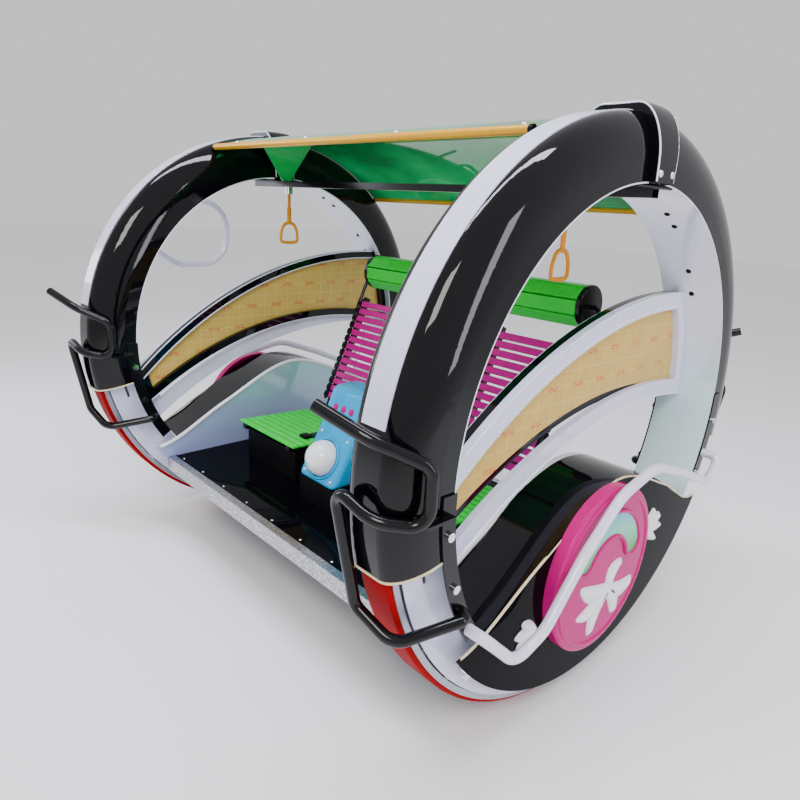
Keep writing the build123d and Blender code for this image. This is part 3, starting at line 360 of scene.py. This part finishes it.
ORANGE = finish("orange_handle", (0.80, 0.27, 0.002), 0.35, specular=0.2)
CREAM = finish("cream_edge", (0.80, 0.68, 0.42), 0.4)
CYAN = gloss("cyan_moulding", (0.0, 0.34, 0.66), coat=0.0, rough=0.14, specular=0.25)
DOME_WHITE = gloss("dome_white", (0.88, 0.90, 0.95))
BATTERY_GREY = finish("battery_grey", (0.15, 0.15, 0.16), 0.6)
ACRYLIC = clear_green()
FILM = printed_film()
TRIM_METAL = chequered_aluminium()
WEBBING = woven()
# Painted sky reflection: the white liner is tinted pale cyan low down and lavender high up.
LINER_PAINTED_REFLECTION = height_blend("liner_painted_reflection", 0.5, 1.6, (
    (0.0, (0.70, 0.86, 0.90)), (0.35, (0.62, 0.84, 0.88)),
    (0.65, (0.78, 0.80, 0.92)), (1.0, (0.80, 0.79, 0.93))))
# Painted shade and sky reflection: the white inner pod plates are coloured a darker blue-violet low down,
# turning teal higher up.
POD_PAINTED_SHADE_AND_REFLECTION = height_blend("pod_painted_shade_and_reflection", 0.35, 0.75, (
    (0.0, (0.34, 0.37, 0.68)), (0.45, (0.34, 0.46, 0.66)), (1.0, (0.24, 0.52, 0.55))))
CRESCENT_BLEND = height_blend("crescent_blend", 0.50, 0.70, (
    (0.0, (0.02, 0.42, 0.06)), (0.45, (0.20, 0.62, 0.42)), (1.0, (0.0, 0.30, 0.68))), rough=0.3, coat=0.0)

SIDES = ("left", "right")
ROLLERS = [f"roller_{place}_{side}" for place in ("top", "front", "rear") for side in SIDES]


def pairs(*names):
    return [f"{name}_{side}" for name in names for side in SIDES]


NODE_FINISH = (
    (TYRE_RED, pairs("tyre")),
    (RIM_STEEL, pairs("rim")),
    (WHITE_GLOSS, ROLLERS + pairs("side_plates", "window_frame") + ["crown_bands"]),
    (POD_PAINTED_SHADE_AND_REFLECTION, ["pod_inner_plates"]),
    (CHROME, ["roller_axles", "plate_bolts", "handle_hangers"]),
    (TREAD_BLACK, pairs("drive_wheel")),
    (CAST_METAL, ["gear_motors", "shaft_bearings"]),
    (LINER_PAINTED_REFLECTION, pairs("liner")),
    (BLACK_GLOSS, pairs("fender") + ["pod_tops", "collars", "window_inner_frames"]),
    (BLACK_PLATE, ["pod_outer_plates", "deck"]),
    (FILM, ["window_panels"]),
    (PINK, ["drum_covers"]),
    (WHITE_RAIL, ["handrails", "grab_loop"]),
    (BLACK_METAL, pairs("seat_frame") + ["front_bull_bars", "rear_bull_bars", "bracket_plates", "crossbar"]),
    (BLACK_METAL, ["crossbar_plates", "deck_beams", "headrest_caps"]),
    (BLACK_SATIN, ["seat_skirts", "pedestal"]),
    (ACRYLIC, ["roof_panel"]),
    (BRACKET_GREEN, ["roof_brackets"]),
    (GOLD, ["roof_trims"]),
    (TRIM_METAL, ["deck_trims"]),
    (BATTERY_GREY, ["battery_pack"]),
    (DOME_WHITE, ["dome_button"]),
    (GREEN, ["seat_slats", "headrest_slats"]),
    (MAGENTA, ["back_slats"]),
    (CYAN, ["console"]),
    (ORANGE, pairs("hanging_handle")),
    (WEBBING, ["seat_belts"]),
)


def paint(piece, material):
    piece.data.materials.clear()
    piece.data.materials.append(material)


def paint_nodes():
    for material, names in NODE_FINISH:
        for name in names:
            paint(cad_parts[name], material)


# ---------------------------------------------------------------- mesh helpers
def add_mesh(name, verts, faces, material, body="chassis", smooth_angle=40):
    """A mesh object in the row frame that rides on a CAD body."""
    mesh = bpy.data.meshes.new(name)
    mesh.from_pydata([tuple(v) for v in verts], [], faces)
    mesh.validate()
    work = bmesh.new()
    work.from_mesh(mesh)
    bmesh.ops.recalc_face_normals(work, faces=work.faces)
    work.to_mesh(mesh)
    work.free()
    mesh.shade_smooth()
    mesh.set_sharp_from_angle(angle=radians(smooth_angle))
    piece = bpy.data.objects.new(name, mesh)
    bpy.context.scene.collection.objects.link(piece)
    paint(piece, material)
    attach(piece, body)
    return piece


def sweep(points, section, closed=False, up=Vector((1, 0, 0))):
    """Verts and faces of a section carried along points; the section's first axis stays near up."""
    points = [Vector(p) for p in points]
    count, sides = len(points), len(section)
    verts, faces = [], []
    for index, point in enumerate(points):
        before = points[(index - 1) % count] if closed or index > 0 else point
        after = points[(index + 1) % count] if closed or index < count - 1 else point
        along = (after - before).normalized()
        first = (up - along * up.dot(along)).normalized()
        second = along.cross(first)
        verts += [point + first * a + second * b for a, b in section]
    for index in range(count if closed else count - 1):
        here, there = index * sides, (index + 1) % count * sides
        for k in range(sides):
            nxt = (k + 1) % sides
            faces.append((here + k, here + nxt, there + nxt, there + k))
    if not closed:
        faces.append(tuple(range(sides)))
        faces.append(tuple(range((count - 1) * sides, count * sides)))
    return verts, faces


def circle(radius, sides=12):
    return [(radius * cos(2 * pi * k / sides), radius * sin(2 * pi * k / sides)) for k in range(sides)]


def oval(half_a, half_b, sides=12):
    return [(half_a * cos(2 * pi * k / sides), half_b * sin(2 * pi * k / sides)) for k in range(sides)]


def merge(parts):
    """Joins several verts and faces lists into one."""
    verts, faces = [], []
    for more_verts, more_faces in parts:
        base = len(verts)
        verts += more_verts
        faces += [tuple(base + i for i in face) for face in more_faces]
    return verts, faces


def mirrored(part):
    verts, faces = part
    return [Vector((-v[0], v[1], v[2])) for v in map(Vector, verts)], faces


def with_mirror(parts):
    parts = list(parts)
    return merge(parts + [mirrored(part) for part in parts])


def dome(centre, axis, radius, height, sides=20, rings=4):
    """A low dome head on a flat seat: verts and faces."""
    axis = Vector(axis).normalized()
    first = axis.orthogonal().normalized()
    second = axis.cross(first)
    centre = Vector(centre)
    verts, faces = [], []
    for ring in range(rings):
        lift = height * sin(pi / 2 * ring / rings)
        wide = radius * cos(pi / 2 * ring / rings)
        for k in range(sides):
            turn = 2 * pi * k / sides
            verts.append(centre + axis * lift + (first * cos(turn) + second * sin(turn)) * wide)
    for ring in range(rings - 1):
        for k in range(sides):
            nxt = (k + 1) % sides
            here, there = ring * sides, (ring + 1) * sides
            faces.append((here + k, here + nxt, there + nxt, there + k))
    verts.append(centre + axis * height)
    last = (rings - 1) * sides
    faces += [(last + k, last + (k + 1) % sides, len(verts) - 1) for k in range(sides)]
    faces.append(tuple(reversed(range(sides))))
    return verts, faces


def bevelled_prism(outline, x_low, x_high, width, segments=3):
    """An outline in Y and Z extruded along X, every edge rounded."""
    count = len(outline)
    work = bmesh.new()
    low = [work.verts.new((x_low, y, z)) for y, z in outline]
    high = [work.verts.new((x_high, y, z)) for y, z in outline]
    work.faces.new(low)
    work.faces.new(high)
    for k in range(count):
        nxt = (k + 1) % count
        work.faces.new((low[k], low[nxt], high[nxt], high[k]))
    bmesh.ops.recalc_face_normals(work, faces=work.faces)
    sharp = [edge for edge in work.edges if edge.calc_face_angle(0) > radians(25)]
    bmesh.ops.bevel(work, geom=sharp, offset=width, segments=segments, affect="EDGES", profile=0.5)
    work.verts.index_update()
    verts = [v.co.copy() for v in work.verts]
    faces = [tuple(v.index for v in face.verts) for face in work.faces]
    work.free()
    return verts, faces


# ---------------------------------------------------------------- curves on the rings
def ring_point(radius, angle, x=RING_X):
    """A point at an angle from the ring's top, positive towards the front."""
    turn = radians(angle)
    return Vector((x, -radius * sin(turn), RING_Z + radius * cos(turn)))


def arch_path(angle, half_width, crown_half, crown_r, base_r, steps=10):
    """Points over a fender or collar profile at one angle of the right ring."""
    across, rise = half_width - crown_half, crown_r - SHOULDER_R
    half = [(half_width, base_r), (half_width, SHOULDER_R)]
    for step in range(1, steps + 1):
        turn = pi / 2 * step / steps
        half.append((crown_half + across * cos(turn), SHOULDER_R + rise * sin(turn)))
    profile = half + [(-offset, radius) for offset, radius in reversed(half)]
    return [ring_point(radius, angle, RING_X + offset) for offset, radius in profile]


def arc_in_ring(arc, inset, x, limit_r, step=0.012):
    """Points along a window arc, moved in by inset, that lie inside a disc of the ring."""
    centre_y, centre_z, radius = arc
    radius -= inset
    points = []
    span = int(1.6 / step)
    for k in range(-span, span + 1):
        turn = k * step / radius
        y = centre_y + radius * sin(turn)
        z = centre_z + radius * cos(turn)
        if hypot(y, z - RING_Z) < limit_r:
            points.append(Vector((x, y, z)))
    return points


def smooth_curve(knots, per_span=10):
    """Points on a smooth curve through knots in Y and Z."""
    knots = [Vector(k) for k in knots]
    ends = [knots[0] * 2 - knots[1], *knots, knots[-1] * 2 - knots[-2]]
    points = []
    for a, b, c, d in zip(ends, ends[1:], ends[2:], ends[3:]):
        for k in range(per_span):
            t = k / per_span
            points.append(((b * 2) + (c - a) * t + (a * 2 - b * 5 + c * 4 - d) * t ** 2
                           + (b * 3 - a - c * 3 + d) * t ** 3) * 0.5)
    return points + [knots[-1]]


def hump_points(x, limit_r=POD_PLATE_R - 0.004, drop=0.0):
    """The pod plate's upper edge at an x, as far as the plate reaches."""
    flat = smooth_curve(POD_HUMP)
    return [Vector((x, p.x, p.y - drop)) for p in flat if hypot(p.x, p.y - RING_Z) < limit_r]


# ---------------------------------------------------------------- ring details
def edge_beads():
    """Rounded beads along the pods' plates and light lines on the window frames."""
    inner = sweep(hump_points(FACE_IN - POD_PLATE_T / 2), circle(POD_BEAD_R))
    add_mesh("pod_inner_bead", *with_mirror([inner]), WHITE_MOULDING)
    outer = sweep(hump_points(FACE_OUT + POD_PLATE_T / 2, drop=POD_OUTER_BEAD_DROP),
                  circle(POD_OUTER_BEAD_R, 8))
    add_mesh("pod_outer_bead", *with_mirror([outer]), CREAM)
    section = circle(WINDOW_LINE_R, 8)
    lines = [sweep(arc_in_ring(arc, inset, WINDOW_X_IN, WINDOW_LINE_END), section)
             for arc, inset in ((WINDOW_TOP, 0.003), (WINDOW_TOP, 0.038), (WINDOW_LOW_IN, -0.003))]
    add_mesh("window_inner_lines", *with_mirror(lines), WHITE_GLOSS)
    lines = [sweep(arc_in_ring(arc, inset, WINDOW_X, WINDOW_LINE_END), section)
             for arc, inset in ((WINDOW_TOP, 0.004), (WINDOW_LOW, -0.004))]
    add_mesh("window_outer_lines", *with_mirror(lines), WHITE_MOULDING)


def fender_edges():
    """Raw cream lips at the fender ends and bright lines on the collar's edges."""
    lips = [sweep(arch_path(angle, HALF_RING, CROWN_HALF, CROWN_R, LINER_R + 0.012), circle(FENDER_LIP_R, 8),
                  up=ring_point(1, angle + 90, 0) - Vector((0, 0, RING_Z)))
            for angle in (-FENDER_END, FENDER_END)]
    add_mesh("fender_lips", *with_mirror(lips), CREAM)
    half_angle = degrees(asin(COLLAR_HALF_Y / CROWN_R))
    skin = COLLAR_T - 0.002
    sizes = (HALF_RING + skin, CROWN_HALF + COLLAR_T / 2, CROWN_R + skin, LINER_R + 0.005)
    lines = [sweep(arch_path(angle, *sizes), circle(COLLAR_LINE_R, 8), up=Vector((0, 1, 0)))
             for angle in (-half_angle, half_angle)]
    add_mesh("collar_lines", *with_mirror(lines), WHITE_MOULDING)


def window_lights():
    """A row of light beads along the upper inner edge of each outer window frame."""
    spots = arc_in_ring(WINDOW_TOP, LIGHT_INSET, WINDOW_X, LINER_R - WINDOW_BAR, step=LIGHT_PITCH)
    beads = [dome(spot, (1, 0, 0), LIGHT_R, LIGHT_H, sides=10, rings=3) for spot in spots]
    add_mesh("window_light_beads", *with_mirror(beads), DOME_WHITE)


def ring_screws():
    """Bolt heads inside the rings, on the collars and along the deck trims."""
    dark, bright = [], []
    for angle in LINER_BOLT_ANGLES:
        spot = ring_point(LINER_R, angle)
        dark.append(dome(spot, Vector((RING_X, 0, RING_Z)) - spot, BOLT_R, BOLT_H))
    for y in (-COLLAR_SCREW_Y, COLLAR_SCREW_Y):
        bright.append(dome((FACE_OUT + COLLAR_T, y, COLLAR_SCREW_Z), (1, 0, 0), BOLT_R, BOLT_H))
    add_mesh("liner_bolts", *with_mirror(dark), BLACK_SATIN)
    add_mesh("collar_screws", *with_mirror(bright), CHROME)
    trims = []
    first = TRIM_SCREW_END - DECK_END
    for k in range(TRIM_SCREWS):
        x = first - k * 2 * first / (TRIM_SCREWS - 1)
        for edge_y, side in ((DECK_FRONT, -1), (DECK_REAR, 1)):
            front_face = (x, edge_y + side * 0.004, DECK_TOP - TRIM_SCREW_DROP)
            trims.append(dome(front_face, (0, side, 0), 0.007, 0.003, 12, 3))
            trims.append(dome((x, edge_y - side * TRIM_SCREW_IN, DECK_TOP), (0, 0, 1), 0.006, 0.003, 12, 3))
    add_mesh("trim_screws", *merge(trims), CHROME)


# ---------------------------------------------------------------- drum ornaments
def leaf(base, tip, width, x, thick, bend=0.0, steps=14):
    """A rounded leaf standing out of the drum face, from base to tip in Y and Z."""
    base, tip = Vector(base), Vector(tip)
    along = tip - base
    side = Vector((-along.y, along.x)).normalized()
    loops, verts, faces = [], [], []
    sides = 10
    for k in range(steps + 1):
        t = k / steps
        middle = base + along * t + side * bend * sin(pi * t)
        half = width / 2 * max(0.04, sin(pi * min(1.0, 0.10 + 0.88 * t)) ** 0.6)
        for j in range(sides):
            turn = pi * j / (sides - 1)
            spot = middle + side * half * cos(turn)
            verts.append(Vector((x + thick * sin(turn) * min(1.0, half / (width * 0.3)), spot.x, spot.y)))
    for k in range(steps):
        for j in range(sides):
            nxt = (j + 1) % sides
            faces.append((k * sides + j, k * sides + nxt, (k + 1) * sides + nxt, (k + 1) * sides + j))
    faces.append(tuple(range(sides)))
    faces.append(tuple(range(steps * sides, (steps + 1) * sides)))
    return verts, faces


def crescent_outline(inner_r, outer_r, start, end, steps=28):
    """Closed outline of a ring sector with rounded ends, in Y and Z, angles from the top to the front."""
    middle, half = (inner_r + outer_r) / 2, (outer_r - inner_r) / 2
    points = []
    for k in range(steps + 1):
        turn = radians(start + (end - start) * k / steps)
        points.append((-outer_r * sin(turn), outer_r * cos(turn)))
    for k in range(1, 10):
        turn, swing = radians(end), pi * k / 10
        reach = middle + half * cos(swing)
        points.append((-reach * sin(turn) - half * sin(swing) * cos(turn),
                       reach * cos(turn) - half * sin(swing) * sin(turn)))
    for k in range(steps + 1):
        turn = radians(end + (start - end) * k / steps)
        points.append((-inner_r * sin(turn), inner_r * cos(turn)))
    for k in range(1, 10):
        turn, swing = radians(start), pi * k / 10
        reach = middle - half * cos(swing)
        points.append((-reach * sin(turn) + half * sin(swing) * cos(turn),
                       reach * cos(turn) + half * sin(swing) * sin(turn)))
    return [(DRUM_Y + y, DRUM_Z + z) for y, z in points]


def drum_ornaments():
    """Generic relief: a crescent panel with a lip and a splash of petals on each drum, sprays beside it."""
    outline = crescent_outline(CRESCENT_INNER_R, CRESCENT_OUTER_R, CRESCENT_START, CRESCENT_END)
    panel = bevelled_prism(outline, DRUM_FACE - 0.002, DRUM_FACE + 0.003, 0.001, 1)
    add_mesh("drum_crescent", *with_mirror([panel]), CRESCENT_BLEND)
    lip = sweep([(DRUM_FACE + 0.001, y, z) for y, z in outline], oval(0.009, 0.007), closed=True)
    turns = [2 * pi * k / 72 for k in range(72)]
    rim_path = [(DRUM_FACE - 0.001, DRUM_Y + DRUM_RIM_R * sin(turn), DRUM_Z + DRUM_RIM_R * cos(turn))
                for turn in turns]
    rim = sweep(rim_path, oval(0.006, 0.009), closed=True)
    add_mesh("drum_lips", *with_mirror([lip, rim]), PINK)
    petals = []
    for reach, turn, width, bend in PETALS:
        tip = (SPLASH_CENTRE[0] - reach * sin(radians(turn)), SPLASH_CENTRE[1] + reach * cos(radians(turn)))
        petals.append(leaf(SPLASH_CENTRE, tip, width, DRUM_FACE - 0.001, PETAL_H, bend))
    for base, tips in SPRAYS:
        for tip in tips:
            petals.append(leaf(base, tip, SPRAY_W, FACE_OUT + POD_PLATE_T - 0.001, SPRAY_H))
    add_mesh("drum_petals", *with_mirror(petals), WHITE_MOULDING)


# ---------------------------------------------------------------- roof, handles, console
def roof_details():
    """End caps of the roof trims and screws through the sheet."""
    caps, screws = [], []
    for edge_y, side in ((ROOF_FRONT_Y, 1), (ROOF_REAR_Y, -1)):
        angle = degrees(asin(-edge_y / ROOF_R)) + side * degrees((ROOF_TRIM_R + 0.0001) / ROOF_SHEET_MID_R)
        centre = ring_point(ROOF_SHEET_MID_R, angle, 0)
        for end in (-1, 1):
            x = end * ROOF_TRIM_END
            caps.append(sweep([(x, centre.y, centre.z), (x + end * ROOF_CAP_L, centre.y, centre.z)],
                              circle(ROOF_TRIM_R + 0.001, 20), up=Vector((0, 1, 0))))
    for x in ROOF_SCREW_XS:
        for angle in ROOF_SCREW_ANGLES:
            outward = ring_point(1, angle, 0) - Vector((0, 0, RING_Z))
            screws.append(dome(ring_point(ROOF_R, angle, x), outward, 0.009, 0.004, 14, 3))
    add_mesh("roof_trim_caps", *merge(caps), BLACK_SATIN)
    add_mesh("roof_screws", *merge(screws), CHROME)


def handle_shape(x):
    """Tapered strap with an eye and a D-shaped grip, hanging from the pivot."""
    top, grip_z = HANDLE_PIVOT_Z, HANDLE_PIVOT_Z - GRIP_DROP
    strap_low = grip_z + GRIP_NECK
    half_way = (top + strap_low) / 2
    turns = [t * pi / 12 for t in range(24)]
    eye = sweep([(x, HANDLE_EYE_R * sin(turn), top + HANDLE_EYE_R * cos(turn)) for turn in turns],
                oval(HANDLE_HALF_T, 0.0052), closed=True)
    strap = sweep([(x, 0, top - 0.011), (x, 0, half_way)], oval(HANDLE_HALF_T, 0.008, 14))
    lower = sweep([(x, 0, half_way + 0.003), (x, 0, strap_low)], oval(HANDLE_HALF_T, 0.012, 14))
    grip = sweep([(x, y, grip_z + z) for y, z in smooth_loop(GRIP_CORNERS)],
                 oval(HANDLE_HALF_T, 0.0075, 14), closed=True)
    return merge([eye, strap, lower, grip])


def smooth_loop(corners, per_span=6):
    """Points on a smooth closed curve through corners in two axes."""
    corners = [Vector(c) for c in corners]
    count = len(corners)
    points = []
    for k in range(count):
        a, b, c, d = (corners[(k + shift) % count] for shift in (-1, 0, 1, 2))
        for step in range(per_span):
            t = step / per_span
            points.append(((b * 2) + (c - a) * t + (a * 2 - b * 5 + c * 4 - d) * t ** 2
                           + (b * 3 - a - c * 3 + d) * t ** 3) * 0.5)
    return points


def hanging_handles():
    for side, sign in (("right", 1), ("left", -1)):
        piece = add_mesh(f"handle_{side}", *handle_shape(sign * HANDLE_X), ORANGE, f"hanging_handle_{side}")
        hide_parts(f"hanging_handle_{side}")


def console_frame():
    """Origin, up and outward directions of the console's slanted face at the dome."""
    low, high = (Vector((0, *point)) for point in CONSOLE_PROFILE[:2])
    up = (high - low).normalized()
    return low + up * DOME_UP, up, Vector((1, 0, 0)).cross(up)


def console():
    """Moulded console with rounded edges, a collar round the dome and generic controls."""
    body = bevelled_prism(CONSOLE_PROFILE, -CONSOLE_HALF_W, CONSOLE_HALF_W, CONSOLE_ROUND, 5)
    piece = add_mesh("console_shell", *body, CYAN)
    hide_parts("console")
    centre, up, out = console_frame()
    across = Vector((1, 0, 0))
    turns = [2 * pi * k / 48 for k in range(48)]
    ring = [centre + out * 0.001 + (across * cos(turn) + up * sin(turn)) * DOME_RING_R for turn in turns]
    collar = sweep(ring, oval(0.008, 0.006), closed=True, up=out)
    add_mesh("console_dome_ring", *collar, CYAN)
    bolts = [dome(centre + across * a + up * b, out, 0.007, 0.003, 14, 3) for a, b in CONSOLE_BOLT_SPOTS]
    add_mesh("console_bolts", *merge(bolts), CHROME)
    upper_low, upper_high = (Vector((0, *point)) for point in CONSOLE_PROFILE[1:3])
    slope = (upper_high - upper_low).normalized()
    face = Vector((1, 0, 0)).cross(slope)
    middle = upper_low + slope * SWITCH_UP
    switches = [dome(middle + across * a, face, 0.014, 0.010) for a in SWITCH_XS]
    add_mesh("console_switches", *merge(switches), PINK)


# ---------------------------------------------------------------- belts
def strap(points, half_w, thick):
    """A flat webbing strip along points, its width along X."""
    section = [(half_w, thick / 2), (-half_w, thick / 2), (-half_w, -thick / 2), (half_w, -thick / 2)]
    return sweep(points, section)


def belts():
    """Lap belt halves that lie on the seats' inner sides, each with its buckle."""
    straps, buckles = [], []
    for sign in (-1, 1):
        x = sign * BELT_X
        path = [Vector((x, p.x, p.y)) for p in smooth_curve(BELT_KNOTS, 5)]
        straps.append(strap(path, BELT_HALF_W, BELT_T))
        y, z = BELT_KNOTS[-1]
        front, back, low, high = y - 0.030, y + 0.012, z - 0.004, z + 0.010
        outline = ((front, low), (back, low), (back, high), (front, high))
        half_w = BELT_HALF_W + 0.004
        buckles.append(bevelled_prism(outline, x - half_w, x + half_w, 0.004, 2))
    piece = add_mesh("belt_webbing", *merge(straps), WEBBING)
    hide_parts("seat_belts")
    add_mesh("belt_buckles", *merge(buckles), BLACK_SATIN)


def back_edges():
    """Black side tubes along the backs, with a wrap over the end of every slat."""
    lean = Vector((0, sin(radians(BACK_TILT)), cos(radians(BACK_TILT))))
    lowest = Vector((0, *BACK_FIRST))
    tubes, wraps = [], []
    for seat_x in (-SEAT_X, SEAT_X):
        for side in (-1, 1):
            x = seat_x + side * BACK_HALF_W
            tube_x = Vector((x + side * EDGE_TUBE_R, 0, 0))
            ends = [lowest + tube_x + lean * BACK_PITCH * k 
                    for k in (-EDGE_TUBE_PAST, BACK_SLATS - 1 + EDGE_TUBE_PAST)]
            tubes.append(sweep(ends, circle(EDGE_TUBE_R, 16)))
            for k in range(BACK_SLATS):
                middle = lowest + lean * BACK_PITCH * k
                inner, outer = x - side * WRAP_IN, x + side * WRAP_OUT
                path = [middle + Vector((inner, 0, 0)), middle + Vector((outer, 0, 0))]
                wraps.append(sweep(path, oval(*WRAP_SECTION, 16), up=lean))
    add_mesh("back_edge_tubes", *merge(tubes), BLACK_METAL)
    add_mesh("back_slat_wraps", *merge(wraps), BLACK_SATIN)


# ---------------------------------------------------------------- stage
def floor():
    material, nodes, links, shader = new_material("floor_pale")
    noise = add_noise(nodes, links, 0.6)
    tone = add_ramp(nodes, links, noise.outputs["Fac"],
                    ((0.3, (0.92, 0.92, 0.93)), (0.7, (0.94, 0.94, 0.94))))
    links.new(tone.outputs["Color"], shader.inputs["Base Color"])
    shader.inputs["Roughness"].default_value = 0.85
    mesh = bpy.data.meshes.new("floor")
    half = FLOOR_HALF
    corners = [(-half, -half, 0), (half, -half, 0), (half, half, 0), (-half, half, 0)]
    mesh.from_pydata(corners, [], [(0, 1, 2, 3)])
    piece = bpy.data.objects.new("floor", mesh)
    bpy.context.scene.collection.objects.link(piece)
    paint(piece, material)


def area_light(name, place, aim, size, power, colour):
    """A soft rectangular light that points at a place."""
    light = bpy.data.lights.new(name, "AREA")
    light.shape = "RECTANGLE"
    light.size, light.size_y = size
    light.energy = power
    light.color = colour
    lamp = bpy.data.objects.new(name, light)
    lamp.location = place
    lamp.rotation_euler = (Vector(aim) - Vector(place)).to_track_quat("-Z", "Y").to_euler()
    bpy.context.scene.collection.objects.link(lamp)


def lights():
    for name, place, size, power, colour in LIGHTS:
        area_light(name, place, MIDDLE, size, power, colour)
    world = bpy.data.worlds.new("studio")
    world.use_nodes = True
    back = world.node_tree.nodes["Background"]
    back.inputs["Color"].default_value = WORLD_COLOUR
    back.inputs["Strength"].default_value = WORLD_STRENGTH
    bpy.context.scene.world = world


def camera():
    """The photograph's viewpoint."""
    yaw, pitch, roll = (radians(value) for value in (CAMERA_YAW, CAMERA_PITCH, CAMERA_ROLL))
    forward = Vector((-sin(yaw) * cos(pitch), cos(yaw) * cos(pitch), -sin(pitch)))
    level = Vector((cos(yaw), sin(yaw), 0))
    above = level.cross(forward)
    right = level * cos(roll) + above * sin(roll)
    up = above * cos(roll) - level * sin(roll)
    matrix = Matrix((right, up, -forward)).transposed().to_4x4()
    matrix.translation = Vector(CAMERA_PLACE)
    lens = bpy.data.cameras.new("camera")
    lens.lens = CAMERA_LENS
    lens.sensor_width = CAMERA_SENSOR
    eye = bpy.data.objects.new("camera", lens)
    eye.matrix_world = matrix
    bpy.context.scene.collection.objects.link(eye)
    bpy.context.scene.camera = eye


paint_nodes()
edge_beads()
fender_edges()
window_lights()
ring_screws()
drum_ornaments()
roof_details()
hanging_handles()
console()
belts()
back_edges()
floor()
lights()
camera()
